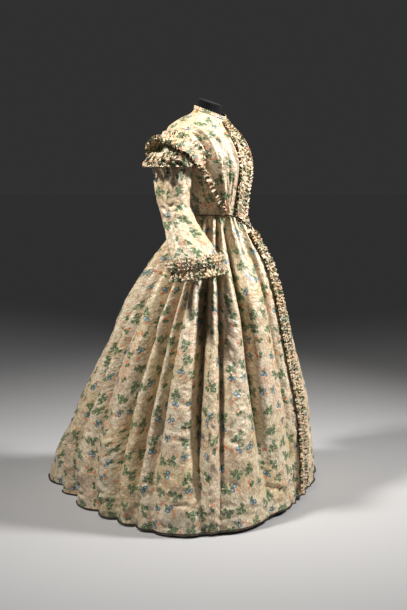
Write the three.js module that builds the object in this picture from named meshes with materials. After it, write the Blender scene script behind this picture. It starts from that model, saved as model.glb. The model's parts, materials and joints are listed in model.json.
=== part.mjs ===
// Afternoon dress with a train, standing on a limbless dress form.
// Millimetres, +Z up, the dress faces -Y, the wearer's left is +X.
// The origin is the centre of the form's foot on the floor.
import * as THREE from 'three';

// ---------------------------------------------------------------- driving dimensions
const WAIST_HEIGHT = 1020;
const WAIST_POINT_DROP = 55;
const WAIST_POINT_SPREAD = 50;
const WAIST_POINT_CURVE = 1.4;
const HEM_LIFT_FRONT = 18;
const FRONT_RISE_CURVE = 1.5;
const CLOTH_WALL = 1.6;
const SEAM_GAP = 0.5;
const SEAM_ANGLE = 0.2;
const FORM_CLEARANCE = 9;
const NECKBAND_FOOT = 1392;
const NECKBAND_HEIGHT = 12;
const NECK_DROP = 40;
const FORM_BOTTOM = 770;
const FORM_TOP = 1416;
const FORM_STEPS = 24;
const FORM_SIDES = 28;
const POLE_RADIUS = 15;
const POLE_SOCKET = 14;
const POLE_SIDES = 24;
const REST_GAP = 0.3;
const FOOT_RADIUS = 190;
const FOOT_THICKNESS = 16;
const FOOT_BEVEL = 12;
const FOOT_SIDES = 40;
const HUB_RADIUS = 34;
const BRAID_FOOT = 1;
const BRAID_HEIGHT = 11;
const BRAID_OFFSET = 0.8;
const BRAID_WALL = 2;
const PIPING_RADIUS = 2.6;
const PIPING_STEPS = 36;
const PIPING_SIDES = 5;
const PIPING_LIFT = 5.2;
const CLOSING_HALF_GAP = 5;
const BODICE_BAND_WIDTH = 52;
const BODICE_BAND_TAPER = 0.45;
const BODICE_BAND_END = 8;
const BODICE_BAND_ROWS = 12;
const BODICE_BAND_COLUMNS = 4;
const BODICE_FRONT_DEPTH = 100;
const BODICE_FRONT_SWELL = 10;
const BODICE_BAND_NARROWING = 0.12;
const SKIRT_BAND_WIDTH = 38;
const SKIRT_BAND_TAPER = 0.2;
const SKIRT_BAND_ENDS = [0.022, 0.985];
const SKIRT_BAND_ROWS = 16;
const SKIRT_BAND_COLUMNS = 3;
const BAND_EDGE = 2.5;
const BAND_HEIGHT = 8;
const BODICE_BAND_LIFT = 3;
const SKIRT_BAND_LIFT = 1.8;
const EDGE_TRIM_LIFT = 1.2;
const CAPE_LIFT = 11.5;
const CAPE_CROWN = 6;
const CAPE_AXIS = { across: 0.4, y: 20, below: 60 };
const NECK_SIDES = 20;
const NECKBAND_WALL = 2;
const NECK_FOOT = 1370;
const NECK_LEAN = 0.34;

// Bodice sections: height, centre depth, half width, depth in front, depth behind.
const TORSO = [
  { z: 950, y: 0, a: 160, front: 129, back: 146 },
  { z: 990, y: 0, a: 137, front: 107, back: 110 },
  { z: 1020, y: 0, a: 118, front: 92, back: 92 },
  { z: 1060, y: 3, a: 122, front: 97, back: 98 },
  { z: 1100, y: 6, a: 132, front: 105, back: 107 },
  { z: 1180, y: 14, a: 150, front: 120, back: 126 },
  { z: 1240, y: 28, a: 163, front: 118, back: 131 },
  { z: 1280, y: 40, a: 171, front: 110, back: 127 },
  { z: 1315, y: 46, a: 166, front: 90, back: 116 },
  { z: 1342, y: 46, a: 132, front: 72, back: 100 },
  { z: 1364, y: 41, a: 90, front: 61, back: 78 },
  { z: 1380, y: 35, a: 64, front: 55, back: 61 },
  { z: 1400, y: 31, a: 56, front: 51, back: 54 },
  { z: 1440, y: 27, a: 53, front: 48, back: 50 },
];

// The form below the waist: height, half width, depth in front, depth behind.
const HIPS = [
  { z: 770, a: 146, front: 102, back: 112 },
  { z: 850, a: 158, front: 112, back: 122 },
  { z: 900, a: 150, front: 106, back: 118 },
  { z: 960, a: 128, front: 96, back: 100 },
  { z: 990, a: 117, front: 89, back: 90 },
  { z: 1020, a: 112, front: 86, back: 86 },
];

// Skirt sections: height, half width, depth in front and behind, roundness of each half.
const SKIRT = [
  { z: 0, a: 557, front: 322, back: 680, roundFront: 2.5, roundBack: 1.38 },
  { z: 80, a: 546, front: 319, back: 658, roundFront: 2.45, roundBack: 1.47 },
  { z: 180, a: 516, front: 314, back: 606, roundFront: 2.3, roundBack: 1.65 },
  { z: 350, a: 450, front: 297, back: 518, roundFront: 2.25, roundBack: 1.75 },
  { z: 550, a: 370, front: 255, back: 415, roundFront: 2.2, roundBack: 1.85 },
  { z: 720, a: 284, front: 222, back: 339, roundFront: 2.15, roundBack: 1.9 },
  { z: 850, a: 206, front: 184, back: 250, roundFront: 2.05, roundBack: 2 },
  { z: 930, a: 168, front: 140, back: 184, roundFront: 2, roundBack: 2 },
  { z: 990, a: 137, front: 107, back: 110, roundFront: 2, roundBack: 2 },
  { z: 1020, a: 118, front: 92, back: 92, roundFront: 2, roundBack: 2 },
];

// The valleys between the skirt's folds on one half, from the centre front to the back:
// angle, half width and depth at the waist, at mid height and at the hem.
const VALLEYS = [
  { angle: [31, 20, 10], width: [10, 22, 26], depth: [8, 15, 8] },
  { angle: [62, 50, 44], width: [10, 24, 34], depth: [15, 32, 8] },
  { angle: [73, 69, 70], width: [9, 20, 26], depth: [12, 20, 9] },
  { angle: [86, 81, 75], width: [10, 22, 30], depth: [16, 42, 16] },
  { angle: [99, 97, 94], width: [9, 18, 24], depth: [12, 16, 12] },
  { angle: [110, 105, 103], width: [10, 22, 28], depth: [16, 32, 24] },
  { angle: [122, 116, 114], width: [10, 24, 30], depth: [18, 38, 28] },
  { angle: [139, 136, 127], width: [11, 27, 32], depth: [20, 46, 30] },
  { angle: [153, 148, 150], width: [10, 25, 48], depth: [14, 34, 58] },
  { angle: [168, 165, 164], width: [10, 28, 46], depth: [16, 40, 58] },
];
const FOLD_LEVELS = [1, 0.5, 0];
const FOLD_COLUMNS = [0, 0.2, 0.5, 0.8];
const LEAST_COLUMN = 0.06;
const WAIST_FADE = { share: 0.8, power: 6 };
const SKIRT_ROWS = [0, 0.1, 0.26, 0.44, 0.62, 0.78, 0.91, 1];
const SKIRT_PANELS = [
  { name: 'skirt_front', from: 0, to: 3.5 },
  { name: 'skirt_side', from: 3.5, to: 7.5 },
  { name: 'skirt_back', from: 7.5, to: 11 },
];

// The bodice panels, a row per level: its height, or its rise from the waist line to the
// top of the lower bodice, or its fall below the neckline, and the angles of its ends.
const LOWER_BODICE_TOP = 1065;
const FRONT_ROWS = [
  { rise: 0, from: 0, to: 90 },
  { rise: 0.35, from: 0, to: 90 },
  { rise: 0.68, from: 0, to: 90 },
  { rise: 1, from: 0, to: 90 },
  { z: 1110, from: 0, to: 90 },
  { z: 1160, from: 0, to: 90 },
  { z: 1205, from: 0, to: 90 },
  { z: 1225, from: 0, to: 72 },
  { z: 1255, from: 0, to: 61 },
  { z: 1280, from: 0, to: 60 },
  { fall: 62, from: 0, to: 68 },
  { fall: 38, from: 0, to: 84 },
  { fall: 17, from: 0, to: 90 },
  { fall: 0, from: 0, to: 90 },
];
const BACK_ROWS = [
  { rise: 0, from: 90 },
  { rise: 0.5, from: 90 },
  { rise: 1, from: 90 },
  { z: 1110, from: 90 },
  { z: 1160, from: 90 },
  { z: 1205, from: 90 },
  { z: 1225, from: 106 },
  { z: 1255, from: 115 },
  { z: 1280, from: 117 },
  { fall: 66, from: 108 },
  { fall: 42, from: 95 },
  { fall: 17, from: 90 },
  { fall: 0, from: 90 },
];
const FRONT_COLUMNS = 7;
const BACK_COLUMNS = 12;

// The cape piece, a row per section from the front waist over the shoulder to the back
// waist: the point on its inner edge and the point on its outer edge.
const CAPE = [
  { inner: [72, -79, 1026], outer: [100, -60, 1028] },
  { inner: [74, -84, 1060], outer: [116, -50, 1056] },
  { inner: [76, -94, 1110], outer: [133, -38, 1092] },
  { inner: [79, -103, 1160], outer: [150, -22, 1138] },
  { inner: [80, -104, 1205], outer: [162, -8, 1168] },
  { inner: [81, -94, 1245], outer: [178, 6, 1190] },
  { inner: [80, -74, 1285], outer: [196, 22, 1212] },
  { inner: [76, -47, 1318], outer: [216, 44, 1238] },
  { inner: [74, -20, 1344], outer: [236, 76, 1268] },
  { inner: [76, 12, 1366], outer: [236, 110, 1274] },
  { inner: [74, 44, 1376], outer: [218, 142, 1264] },
  { inner: [68, 80, 1370], outer: [194, 162, 1244] },
  { inner: [66, 122, 1350], outer: [168, 166, 1214] },
  { inner: [69, 144, 1322], outer: [148, 160, 1184] },
  { inner: [70, 150, 1286], outer: [134, 152, 1152] },
  { inner: [68, 144, 1220], outer: [112, 132, 1102] },
  { inner: [60, 116, 1130], outer: [94, 106, 1062] },
  { inner: [56, 94, 1060], outer: [80, 88, 1032] },
];
const CAPE_COLUMNS = [0, 0.22, 0.44, 0.64, 0.8, 0.9, 1];
const EDGE_TRIM_COLUMNS = 3;
const EDGE_TRIM_HEIGHT = 9;
const EDGE_TRIM_SIDE = 3;

// The sleeve head that the cape drapes over: its centre and radii.
const SLEEVE_HEAD = { centre: [190, 75, 1222], radii: [70, 70, 82], lift: 9 };

// The sleeve, a ring per section from the armhole to the end of the bell: its centre, its
// radii across and along the body, and how far its plane turns out and forward in degrees.
const SLEEVE = [
  { at: [170, 56, 1254], across: 44, along: 44, out: 84, forward: 0 },
  { at: [182, 64, 1246], across: 51, along: 52, out: 58, forward: 0 },
  { at: [200, 76, 1225], across: 59, along: 60, out: 34, forward: 0 },
  { at: [215, 85, 1193], across: 64, along: 65, out: 12, forward: 0 },
  { at: [226, 87, 1152], across: 62, along: 64, out: 4, forward: 0 },
  { at: [234, 84, 1108], across: 59, along: 61, out: 0, forward: 0 },
  { at: [241, 76, 1066], across: 55, along: 56, out: 0, forward: -6 },
  { at: [249, 63, 1028], across: 54, along: 54, out: 0, forward: -14 },
  { at: [260, 44, 990], across: 58, along: 58, out: 0, forward: -16 },
  { at: [274, 21, 953], across: 66, along: 67, out: 0, forward: -13 },
  { at: [290, -2, 918], across: 73, along: 75, out: 0, forward: -11 },
  { at: [305, -20, 886], across: 78, along: 80, out: 0, forward: -9 },
  { at: [316, -33, 857], across: 82, along: 84, out: 0, forward: -9 },
];
const SLEEVE_COLUMNS = 12;
// The left forearm is held further back than the right: how far at the cuff, and the heights
// between which it draws back.
const LEFT_CUFF_BACK = 62;
const DRAWN_BACK = { from: 1110, to: 860 };
// The sleeve is cut in two, with a narrower piece under the arm: the first column of each
// and how many columns wide it is.
const SLEEVE_PARTS = [
  { name: 'sleeve_top', first: 9, spans: 7 },
  { name: 'sleeve_under', first: 4, spans: 5 },
];

// The gathered band above the sleeve's end, its frill and the frill over the sleeve head.
const CUFF_BAND = [
  { at: [306, -21, 884], radius: 86, inner: 82 },
  { at: [311, -27, 871], radius: 93, inner: 84 },
  { at: [316, -33, 859], radius: 90, inner: 86 },
];
const CUFF_FRILL = [
  { at: [316, -34, 854], radius: 79 },
  { at: [319, -40, 837], radius: 82 },
  { at: [322, -46, 819], radius: 84 },
];
const CAP_FRILL = [
  { at: [210, 86, 1236], radius: 75 },
  { at: [213, 92, 1216], radius: 86 },
  { at: [215, 94, 1198], radius: 93 },
];
const CUFF_OVAL = 2;
const CUFF_TILT = -9;
const CAP_FROM = -78;
const CAP_TO = 106;
const CAP_COLUMNS = 12;
const FRILL_COLUMNS = 16;

// ---------------------------------------------------------------- interpolation
const radians = (degrees) => degrees * Math.PI / 180;

// Smooth reading of one column of a table whose rows are sorted by height.
function column(table, key, z) {
  const last = table.length - 1;
  if (z <= table[0].z) return table[0][key];
  if (z >= table[last].z) return table[last][key];
  let i = 0;
  while (table[i + 1].z < z) i += 1;
  const slope = (k) => {
    const lo = Math.max(k - 1, 0);
    const hi = Math.min(k + 1, last);
    return (table[hi][key] - table[lo][key]) / (table[hi].z - table[lo].z);
  };
  const span = table[i + 1].z - table[i].z;
  const t = (z - table[i].z) / span;
  const rise = table[i + 1][key] - table[i][key];
  const m0 = slope(i) * span;
  const m1 = slope(i + 1) * span;
  return table[i][key] + t * (m0 + t * (3 * rise - 2 * m0 - m1 + t * (m0 + m1 - 2 * rise)));
}

// A quadratic through three values given at 1, 0.5 and 0.
function threeWay(values, level) {
  const [top, middle, foot] = values;
  const t = (level - FOLD_LEVELS[1]) / (FOLD_LEVELS[0] - FOLD_LEVELS[1]);
  if (t > 0) return middle + (top - middle) * t * t;
  return middle + (foot - middle) * t * t;
}

// ---------------------------------------------------------------- body surfaces
// Angle 0 is the centre front and 90 the side.
function torsoRadius(angle, z) {
  const c = Math.cos(angle);
  const b = column(TORSO, c > 0 ? 'front' : 'back', z);
  const a = column(TORSO, 'a', z);
  return 1 / Math.hypot(Math.sin(angle) / a, c / b);
}

function torsoPoint(angle, z, lift = 0) {
  const r = torsoRadius(angle, z) + lift;
  return new THREE.Vector3(r * Math.sin(angle), column(TORSO, 'y', z) - r * Math.cos(angle), z);
}

const unfold = (angle) => Math.abs(Math.atan2(Math.sin(angle), Math.cos(angle)));

function waistZ(angle) {
  const near = Math.max(0, 1 - unfold(angle) / radians(WAIST_POINT_SPREAD));
  return WAIST_HEIGHT - WAIST_POINT_DROP * near ** WAIST_POINT_CURVE;
}

function hemZ(angle) {
  return HEM_LIFT_FRONT * ((1 + Math.cos(angle)) / 2) ** FRONT_RISE_CURVE;
}

function neckZ(angle) {
  return NECKBAND_FOOT - NECK_DROP * ((1 + Math.cos(angle)) / 2) ** FRONT_RISE_CURVE;
}

// ---------------------------------------------------------------- skirt surface
function skirtBase(angle, z) {
  const s = Math.abs(Math.sin(angle));
  const c = Math.cos(angle);
  const half = c > 0 ? 'Front' : 'Back';
  const n = column(SKIRT, `round${half}`, z);
  const b = column(SKIRT, half.toLowerCase(), z);
  const a = column(SKIRT, 'a', z);
  return ((s / a) ** n + (Math.abs(c) / b) ** n) ** (-1 / n);
}

// The angle of a fold column: whole numbers are valleys, 0 and 11 the centre lines, and
// past a centre line the folds of the other half follow.
function foldAngle(u, level) {
  const end = VALLEYS.length + 1;
  if (u < 0) return -foldAngle(-u, level);
  if (u > end) return 2 * Math.PI - foldAngle(2 * end - u, level);
  const i = Math.min(Math.floor(u), VALLEYS.length);
  const at = (k) => {
    if (k <= 0) return 0;
    if (k >= end) return Math.PI;
    return radians(threeWay(VALLEYS[k - 1].angle, level));
  };
  return at(i) + (at(i + 1) - at(i)) * (u - i);
}

function foldDepth(angle, level, radius) {
  const fade = 1 - WAIST_FADE.share * level ** WAIST_FADE.power;
  return VALLEYS.reduce((sum, valley) => {
    const centre = radians(threeWay(valley.angle, level));
    const x = (unfold(angle) - centre) * radius / threeWay(valley.width, level);
    return sum + threeWay(valley.depth, level) * fade * Math.exp(-x * x);
  }, 0);
}

function skirtPoint(side, u, level) {
  const angle = foldAngle(u, level);
  const z = hemZ(angle) + (waistZ(angle) - SEAM_GAP - hemZ(angle)) * level;
  return skirtAt(side * angle, z, level);
}

function skirtAt(angle, z, level) {
  const base = skirtBase(angle, z);
  const r = base - foldDepth(angle, level, base);
  return new THREE.Vector3(r * Math.sin(angle), -r * Math.cos(angle), z);
}

// ---------------------------------------------------------------- solids from grids
// Joins an outer and an inner grid of points into one closed solid. A ring closes on itself
// across its columns.
function solidFromGrids(outer, inner, ring) {
  const rows = outer.length;
  const columns = outer[0].length;
  const points = [...outer.flat(), ...inner.flat()];
  const id = (layer, row, col) => layer * rows * columns + row * columns + (col % columns);
  const faces = [];
  const quad = (a, b, c, d) => faces.push([a, b, c], [a, c, d]);
  const spans = ring ? columns : columns - 1;
  for (let r = 0; r < rows - 1; r += 1) {
    for (let c = 0; c < spans; c += 1) {
      quad(id(0, r, c), id(0, r, c + 1), id(0, r + 1, c + 1), id(0, r + 1, c));
      quad(id(1, r, c), id(1, r + 1, c), id(1, r + 1, c + 1), id(1, r, c + 1));
    }
  }
  for (let c = 0; c < spans; c += 1) {
    quad(id(0, 0, c), id(1, 0, c), id(1, 0, c + 1), id(0, 0, c + 1));
    quad(id(0, rows - 1, c), id(0, rows - 1, c + 1), id(1, rows - 1, c + 1), id(1, rows - 1, c));
  }
  for (let r = 0; r < rows - 1 && !ring; r += 1) {
    quad(id(0, r, 0), id(0, r + 1, 0), id(1, r + 1, 0), id(1, r, 0));
    quad(id(0, r, spans), id(1, r, spans), id(1, r + 1, spans), id(0, r + 1, spans));
  }
  return closedGeometry(points, faces);
}

// Turns the faces outward if their volume comes out negative.
function closedGeometry(points, faces) {
  const volume = faces.reduce((sum, [a, b, c]) => {
    const cross = new THREE.Vector3().crossVectors(points[b], points[c]);
    return sum + points[a].dot(cross);
  }, 0);
  const index = faces.flatMap(([a, b, c]) => (volume < 0 ? [a, c, b] : [a, b, c]));
  const geometry = new THREE.BufferGeometry();
  const positions = points.flatMap((p) => [p.x, p.y, p.z]);
  geometry.setAttribute('position', new THREE.Float32BufferAttribute(positions, 3));
  geometry.setIndex(index);
  geometry.computeVertexNormals();
  return geometry;
}

// Normals of a grid, pointing away from a centre that may differ by row.
function gridNormals(grid, ring, centreOf) {
  const rows = grid.length;
  const columns = grid[0].length;
  return grid.map((line, r) => line.map((point, c) => {
    const left = ring ? (c + columns - 1) % columns : Math.max(c - 1, 0);
    const right = ring ? (c + 1) % columns : Math.min(c + 1, columns - 1);
    const across = new THREE.Vector3().subVectors(line[right], line[left]);
    const up = new THREE.Vector3()
      .subVectors(grid[Math.min(r + 1, rows - 1)][c], grid[Math.max(r - 1, 0)][c]);
    const normal = new THREE.Vector3().crossVectors(across, up).normalize();
    const away = new THREE.Vector3().subVectors(point, centreOf(point, r));
    return normal.dot(away) < 0 ? normal.negate() : normal;
  }));
}

function movedOut(grid, normals, distance) {
  return grid.map((line, r) => line.map((point, c) => {
    const d = typeof distance === 'function' ? distance(r, c) : distance;
    return point.clone().addScaledVector(normals[r][c], d);
  }));
}

const bodyAxis = (point) => new THREE.Vector3(0, column(TORSO, 'y', point.z), point.z);
const skirtAxis = (point) => new THREE.Vector3(0, 0, point.z);

// A cloth wall: the grid is its outer face and the inner face lies one wall inside.
function clothWall(grid, ring, centreOf, wall = CLOTH_WALL) {
  const normals = gridNormals(grid, ring, centreOf);
  return solidFromGrids(grid, movedOut(grid, normals, -wall), ring);
}

// ---------------------------------------------------------------- the dress's materials
const SILK = { color: 0xddd2b4, roughness: 0.55, metalness: 0 };
const RUCHED = { color: 0xcfc3a2, roughness: 0.65, metalness: 0 };
const DARK_BRAID = { color: 0x2a2018, roughness: 0.8, metalness: 0 };
const FORM_COVER = { color: 0x14141a, roughness: 0.85, metalness: 0 };
const STAND_METAL = { color: 0x2b2b2d, roughness: 0.4, metalness: 0.6 };

const dress = new THREE.Group();

function add(name, geometry, look) {
  const mesh = new THREE.Mesh(geometry, new THREE.MeshStandardMaterial(look));
  mesh.name = name;
  dress.add(mesh);
}

const SIDES = [
  { label: 'right', sign: -1 },
  { label: 'left', sign: 1 },
];

// ---------------------------------------------------------------- dress form and stand
function formGeometry() {
  const rings = HIPS.map((row) => ({ ...row, y: 0, lean: 0 }));
  const less = FORM_CLEARANCE + CLOTH_WALL;
  for (let k = 1; k <= FORM_STEPS; k += 1) {
    const z = WAIST_HEIGHT + (FORM_TOP - WAIST_HEIGHT) * k / FORM_STEPS;
    const lean = NECK_LEAN * Math.max(0, (z - NECK_FOOT) / (FORM_TOP - NECK_FOOT));
    const [y, a, front, back] = ['y', 'a', 'front', 'back'].map((key) => column(TORSO, key, z));
    rings.push({ z, y, lean, a: a - less, front: front - less, back: back - less });
  }
  const cap = rings[rings.length - 1];
  const around = FORM_SIDES;
  const points = [];
  const faces = [];
  rings.forEach((row) => {
    for (let k = 0; k < around; k += 1) {
      const angle = k / around * 2 * Math.PI;
      const c = Math.cos(angle);
      const b = c > 0 ? row.front : row.back;
      const r = 1 / Math.hypot(Math.sin(angle) / row.a, c / b);
      points.push(new THREE.Vector3(r * Math.sin(angle), row.y - r * c, row.z - row.lean * r * c));
    }
  });
  for (let i = 0; i < rings.length - 1; i += 1) {
    for (let k = 0; k < around; k += 1) {
      const next = (k + 1) % around;
      const a = i * around;
      faces.push([a + k, a + next, a + around + next], [a + k, a + around + next, a + around + k]);
    }
  }
  const foot = points.push(new THREE.Vector3(0, 0, rings[0].z)) - 1;
  const head = points.push(new THREE.Vector3(0, cap.y, FORM_TOP)) - 1;
  const top = (rings.length - 1) * around;
  for (let k = 0; k < around; k += 1) {
    const next = (k + 1) % around;
    faces.push([foot, next, k], [head, top + k, top + next]);
  }
  return closedGeometry(points, faces);
}
add('dress_form', formGeometry(), FORM_COVER);

const poleFoot = FOOT_THICKNESS + POLE_SOCKET + REST_GAP;
const poleLength = FORM_BOTTOM - REST_GAP - poleFoot;
const pole = new THREE.CylinderGeometry(POLE_RADIUS, POLE_RADIUS, poleLength, POLE_SIDES);
pole.rotateX(Math.PI / 2);
pole.translate(0, 0, poleFoot + poleLength / 2);
add('stand_pole', pole, STAND_METAL);

const footProfile = [
  [0, 0],
  [FOOT_RADIUS, 0],
  [FOOT_RADIUS, FOOT_THICKNESS / 2],
  [FOOT_RADIUS - FOOT_BEVEL, FOOT_THICKNESS],
  [HUB_RADIUS, FOOT_THICKNESS],
  [HUB_RADIUS - POLE_SOCKET / 2, FOOT_THICKNESS + POLE_SOCKET],
  [0, FOOT_THICKNESS + POLE_SOCKET],
].map(([x, y]) => new THREE.Vector2(x, y));
const foot = new THREE.LatheGeometry(footProfile, FOOT_SIDES);
foot.rotateX(Math.PI / 2);
add('stand_foot', foot, STAND_METAL);

// ---------------------------------------------------------------- bodice
function rowHeight(row, angle) {
  const foot = waistZ(angle) + SEAM_GAP;
  if ('rise' in row) return foot + (LOWER_BODICE_TOP - foot) * row.rise;
  if ('fall' in row) return neckZ(angle) - SEAM_GAP - row.fall;
  return row.z;
}

function bodiceGrid(rows, columns, span) {
  return rows.map((row) => {
    const [from, to] = span(row);
    const line = [];
    for (let k = 0; k <= columns; k += 1) {
      const angle = radians(from + (to - from) * k / columns);
      line.push(torsoPoint(angle, rowHeight(row, angle)));
    }
    return line;
  });
}

SIDES.forEach(({ label, sign }) => {
  const grid = bodiceGrid(FRONT_ROWS, FRONT_COLUMNS, (row) => [
    sign * (row.from + SEAM_ANGLE),
    sign * (row.to - SEAM_ANGLE),
  ]);
  add(`bodice_front_${label}`, clothWall(grid, false, bodyAxis), SILK);
});
const backGrid = bodiceGrid(BACK_ROWS, BACK_COLUMNS, (row) => [
  row.from + SEAM_ANGLE,
  360 - row.from - SEAM_ANGLE,
]);
add('bodice_back', clothWall(backGrid, false, bodyAxis), SILK);

// The neckband stands on the neckline all round.
const neckRing = [0, NECKBAND_HEIGHT].map((height) => {
  const line = [];
  for (let k = 0; k < NECK_SIDES; k += 1) {
    const angle = k / NECK_SIDES * 2 * Math.PI;
    line.push(torsoPoint(angle, neckZ(angle) + SEAM_GAP + height, 1));
  }
  return line;
});
add('neckband', clothWall(neckRing, true, bodyAxis, NECKBAND_WALL), RUCHED);

// The piping covers the seam between the bodice and the skirt.
function pipingGeometry() {
  const rings = [];
  const sides = PIPING_SIDES;
  for (let s = 0; s < sides; s += 1) {
    const turn = s / sides * 2 * Math.PI;
    const line = [];
    for (let k = 0; k < PIPING_STEPS; k += 1) {
      const angle = k / PIPING_STEPS * 2 * Math.PI;
      const lift = PIPING_LIFT + PIPING_RADIUS * Math.cos(turn);
      const point = torsoPoint(angle, waistZ(angle), lift);
      point.z += PIPING_RADIUS * Math.sin(turn);
      line.push(point);
    }
    rings.push(line);
  }
  const points = rings.flat();
  const faces = [];
  for (let s = 0; s < sides; s += 1) {
    for (let k = 0; k < PIPING_STEPS; k += 1) {
      const a = s * PIPING_STEPS + k;
      const b = s * PIPING_STEPS + (k + 1) % PIPING_STEPS;
      const c = ((s + 1) % sides) * PIPING_STEPS + (k + 1) % PIPING_STEPS;
      const d = ((s + 1) % sides) * PIPING_STEPS + k;
      faces.push([a, b, c], [a, c, d]);
    }
  }
  return closedGeometry(points, faces);
}
add('waist_piping', pipingGeometry(), DARK_BRAID);

// ---------------------------------------------------------------- centre front trims
// A padded strip on a surface: its foot hugs the surface and its back rises in the middle.
function trimGeometry(grid, centreOf, lift, height) {
  const normals = gridNormals(grid, false, centreOf);
  const last = grid[0].length - 1;
  const crown = height - BAND_EDGE;
  const rise = (r, c) => lift + BAND_EDGE + crown * Math.sin(Math.PI * c / last);
  return solidFromGrids(movedOut(grid, normals, rise), movedOut(grid, normals, lift), false);
}

function bandHeights(foot, head, rows) {
  return Array.from({ length: rows + 1 }, (_, k) => foot + (head - foot) * k / rows);
}

SIDES.forEach(({ label, sign }) => {
  const levels = bandHeights(0, 1, BODICE_BAND_ROWS);
  const grid = levels.map((t) => {
    const line = [];
    for (let k = 0; k <= BODICE_BAND_COLUMNS; k += 1) {
      const width = BODICE_BAND_WIDTH * (1 - BODICE_BAND_TAPER * t ** 3);
      const x = CLOSING_HALF_GAP + width * k / BODICE_BAND_COLUMNS;
      const depth = BODICE_FRONT_DEPTH + BODICE_FRONT_SWELL * Math.sin(Math.PI * t);
      const angle = Math.asin(x / depth) * (1 - BODICE_BAND_NARROWING * t);
      const foot = waistZ(angle) + BODICE_BAND_END;
      const z = foot + (neckZ(angle) - BODICE_BAND_END / 2 - foot) * t;
      line.push(torsoPoint(sign * angle, z));
    }
    return line;
  });
  add(`bodice_trim_${label}`, trimGeometry(grid, bodyAxis, BODICE_BAND_LIFT, BAND_HEIGHT), RUCHED);
});

SIDES.forEach(({ label, sign }) => {
  const levels = bandHeights(...SKIRT_BAND_ENDS, SKIRT_BAND_ROWS);
  const grid = levels.map((level) => {
    const line = [];
    for (let k = 0; k <= SKIRT_BAND_COLUMNS; k += 1) {
      const width = SKIRT_BAND_WIDTH * (1 - SKIRT_BAND_TAPER * level);
      const x = CLOSING_HALF_GAP + width * k / SKIRT_BAND_COLUMNS;
      const z = hemZ(0) + (waistZ(0) - hemZ(0)) * level;
      const angle = Math.asin(x / skirtBase(0, z));
      line.push(skirtAt(sign * angle, z, level));
    }
    return line;
  });
  add(`skirt_trim_${label}`, trimGeometry(grid, skirtAxis, SKIRT_BAND_LIFT, BAND_HEIGHT), RUCHED);
});

// ---------------------------------------------------------------- skirt
function foldColumns(from, to) {
  const columns = [from];
  for (let i = Math.floor(from); i <= to; i += 1) {
    FOLD_COLUMNS.forEach((part) => {
      const u = i + part;
      if (u > from + LEAST_COLUMN && u < to - LEAST_COLUMN) columns.push(u);
    });
  }
  columns.push(to);
  return columns;
}

// A line of points with both ends drawn back from a seam by half the seam's gap.
function seamed(line) {
  const back = (end, next) => {
    const step = new THREE.Vector3().subVectors(line[next], line[end]).setLength(SEAM_GAP / 2);
    return line[end].clone().add(step);
  };
  const last = line.length - 1;
  return [back(0, 1), ...line.slice(1, last), back(last, last - 1)];
}

// A wall over a run of fold columns. One more column each side settles the normals at the
// seams.
function skirtWall(sign, from, to, gridOf, lift, wall) {
  const end = VALLEYS.length + 1;
  const before = from - (from === 0 ? FOLD_COLUMNS[1] : 0.5 - FOLD_COLUMNS[1]);
  const after = to + (to === end ? FOLD_COLUMNS[1] : FOLD_COLUMNS[3] - 0.5);
  const columns = [before, ...foldColumns(from, to), after];
  const grid = gridOf(columns);
  const normals = gridNormals(grid, false, skirtAxis);
  const cut = (lines) => lines.map((line) => seamed(line.slice(1, -1)));
  const outer = cut(movedOut(grid, normals, lift + wall));
  const inner = cut(movedOut(grid, normals, lift));
  return solidFromGrids(outer, inner, false);
}

SIDES.forEach(({ label, sign }) => {
  SKIRT_PANELS.forEach(({ name, from, to }) => {
    const gridOf = (columns) => SKIRT_ROWS.map((level) => (
      columns.map((u) => skirtPoint(sign, u, level))
    ));
    add(`${name}_${label}`, skirtWall(sign, from, to, gridOf, -CLOTH_WALL, CLOTH_WALL), SILK);
  });
});

// The braid runs round the hem on the outside, half by half.
SIDES.forEach(({ label, sign }) => {
  const gridOf = (columns) => [BRAID_FOOT, BRAID_HEIGHT].map((height) => (
    columns.map((u) => {
      const foot = skirtPoint(sign, u, SKIRT_ROWS[0]);
      const next = skirtPoint(sign, u, SKIRT_ROWS[1]);
      return foot.lerp(next, height / (next.z - foot.z));
    })
  ));
  const end = VALLEYS.length + 1;
  add(`hem_braid_${label}`, skirtWall(sign, 0, end, gridOf, BRAID_OFFSET, BRAID_WALL), DARK_BRAID);
});

// ---------------------------------------------------------------- cape
// Keeps a point at least a lift away from the bodice.
function clearOfTorso(point, lift) {
  const y = column(TORSO, 'y', point.z);
  const angle = Math.atan2(point.x, y - point.y);
  const r = Math.hypot(point.x, point.y - y);
  const least = torsoRadius(angle, point.z) + lift;
  if (r >= least) return point;
  return new THREE.Vector3(least * Math.sin(angle), y - least * Math.cos(angle), point.z);
}

// Keeps a point clear of the puffed head of the sleeve.
function clearOfSleeve(point) {
  const { centre, radii, lift } = SLEEVE_HEAD;
  const offset = [point.x - centre[0], point.y - centre[1], point.z - centre[2]];
  const size = Math.hypot(...offset.map((d, k) => d / (radii[k] + lift)));
  if (size >= 1) return point;
  return new THREE.Vector3(...offset.map((d, k) => centre[k] + d / size));
}

function capePoint(row, t) {
  const [x0, y0, z0] = row.inner;
  const [x1, y1, z1] = row.outer;
  const point = new THREE.Vector3(
    x0 + (x1 - x0) * t,
    y0 + (y1 - y0) * t,
    z0 + (z1 - z0) * t,
  );
  return clearOfSleeve(clearOfTorso(point, CAPE_LIFT + CAPE_CROWN * Math.sin(Math.PI * t)));
}

const capeAxis = (point) => (
  new THREE.Vector3(point.x * CAPE_AXIS.across, CAPE_AXIS.y, point.z - CAPE_AXIS.below)
);

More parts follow.
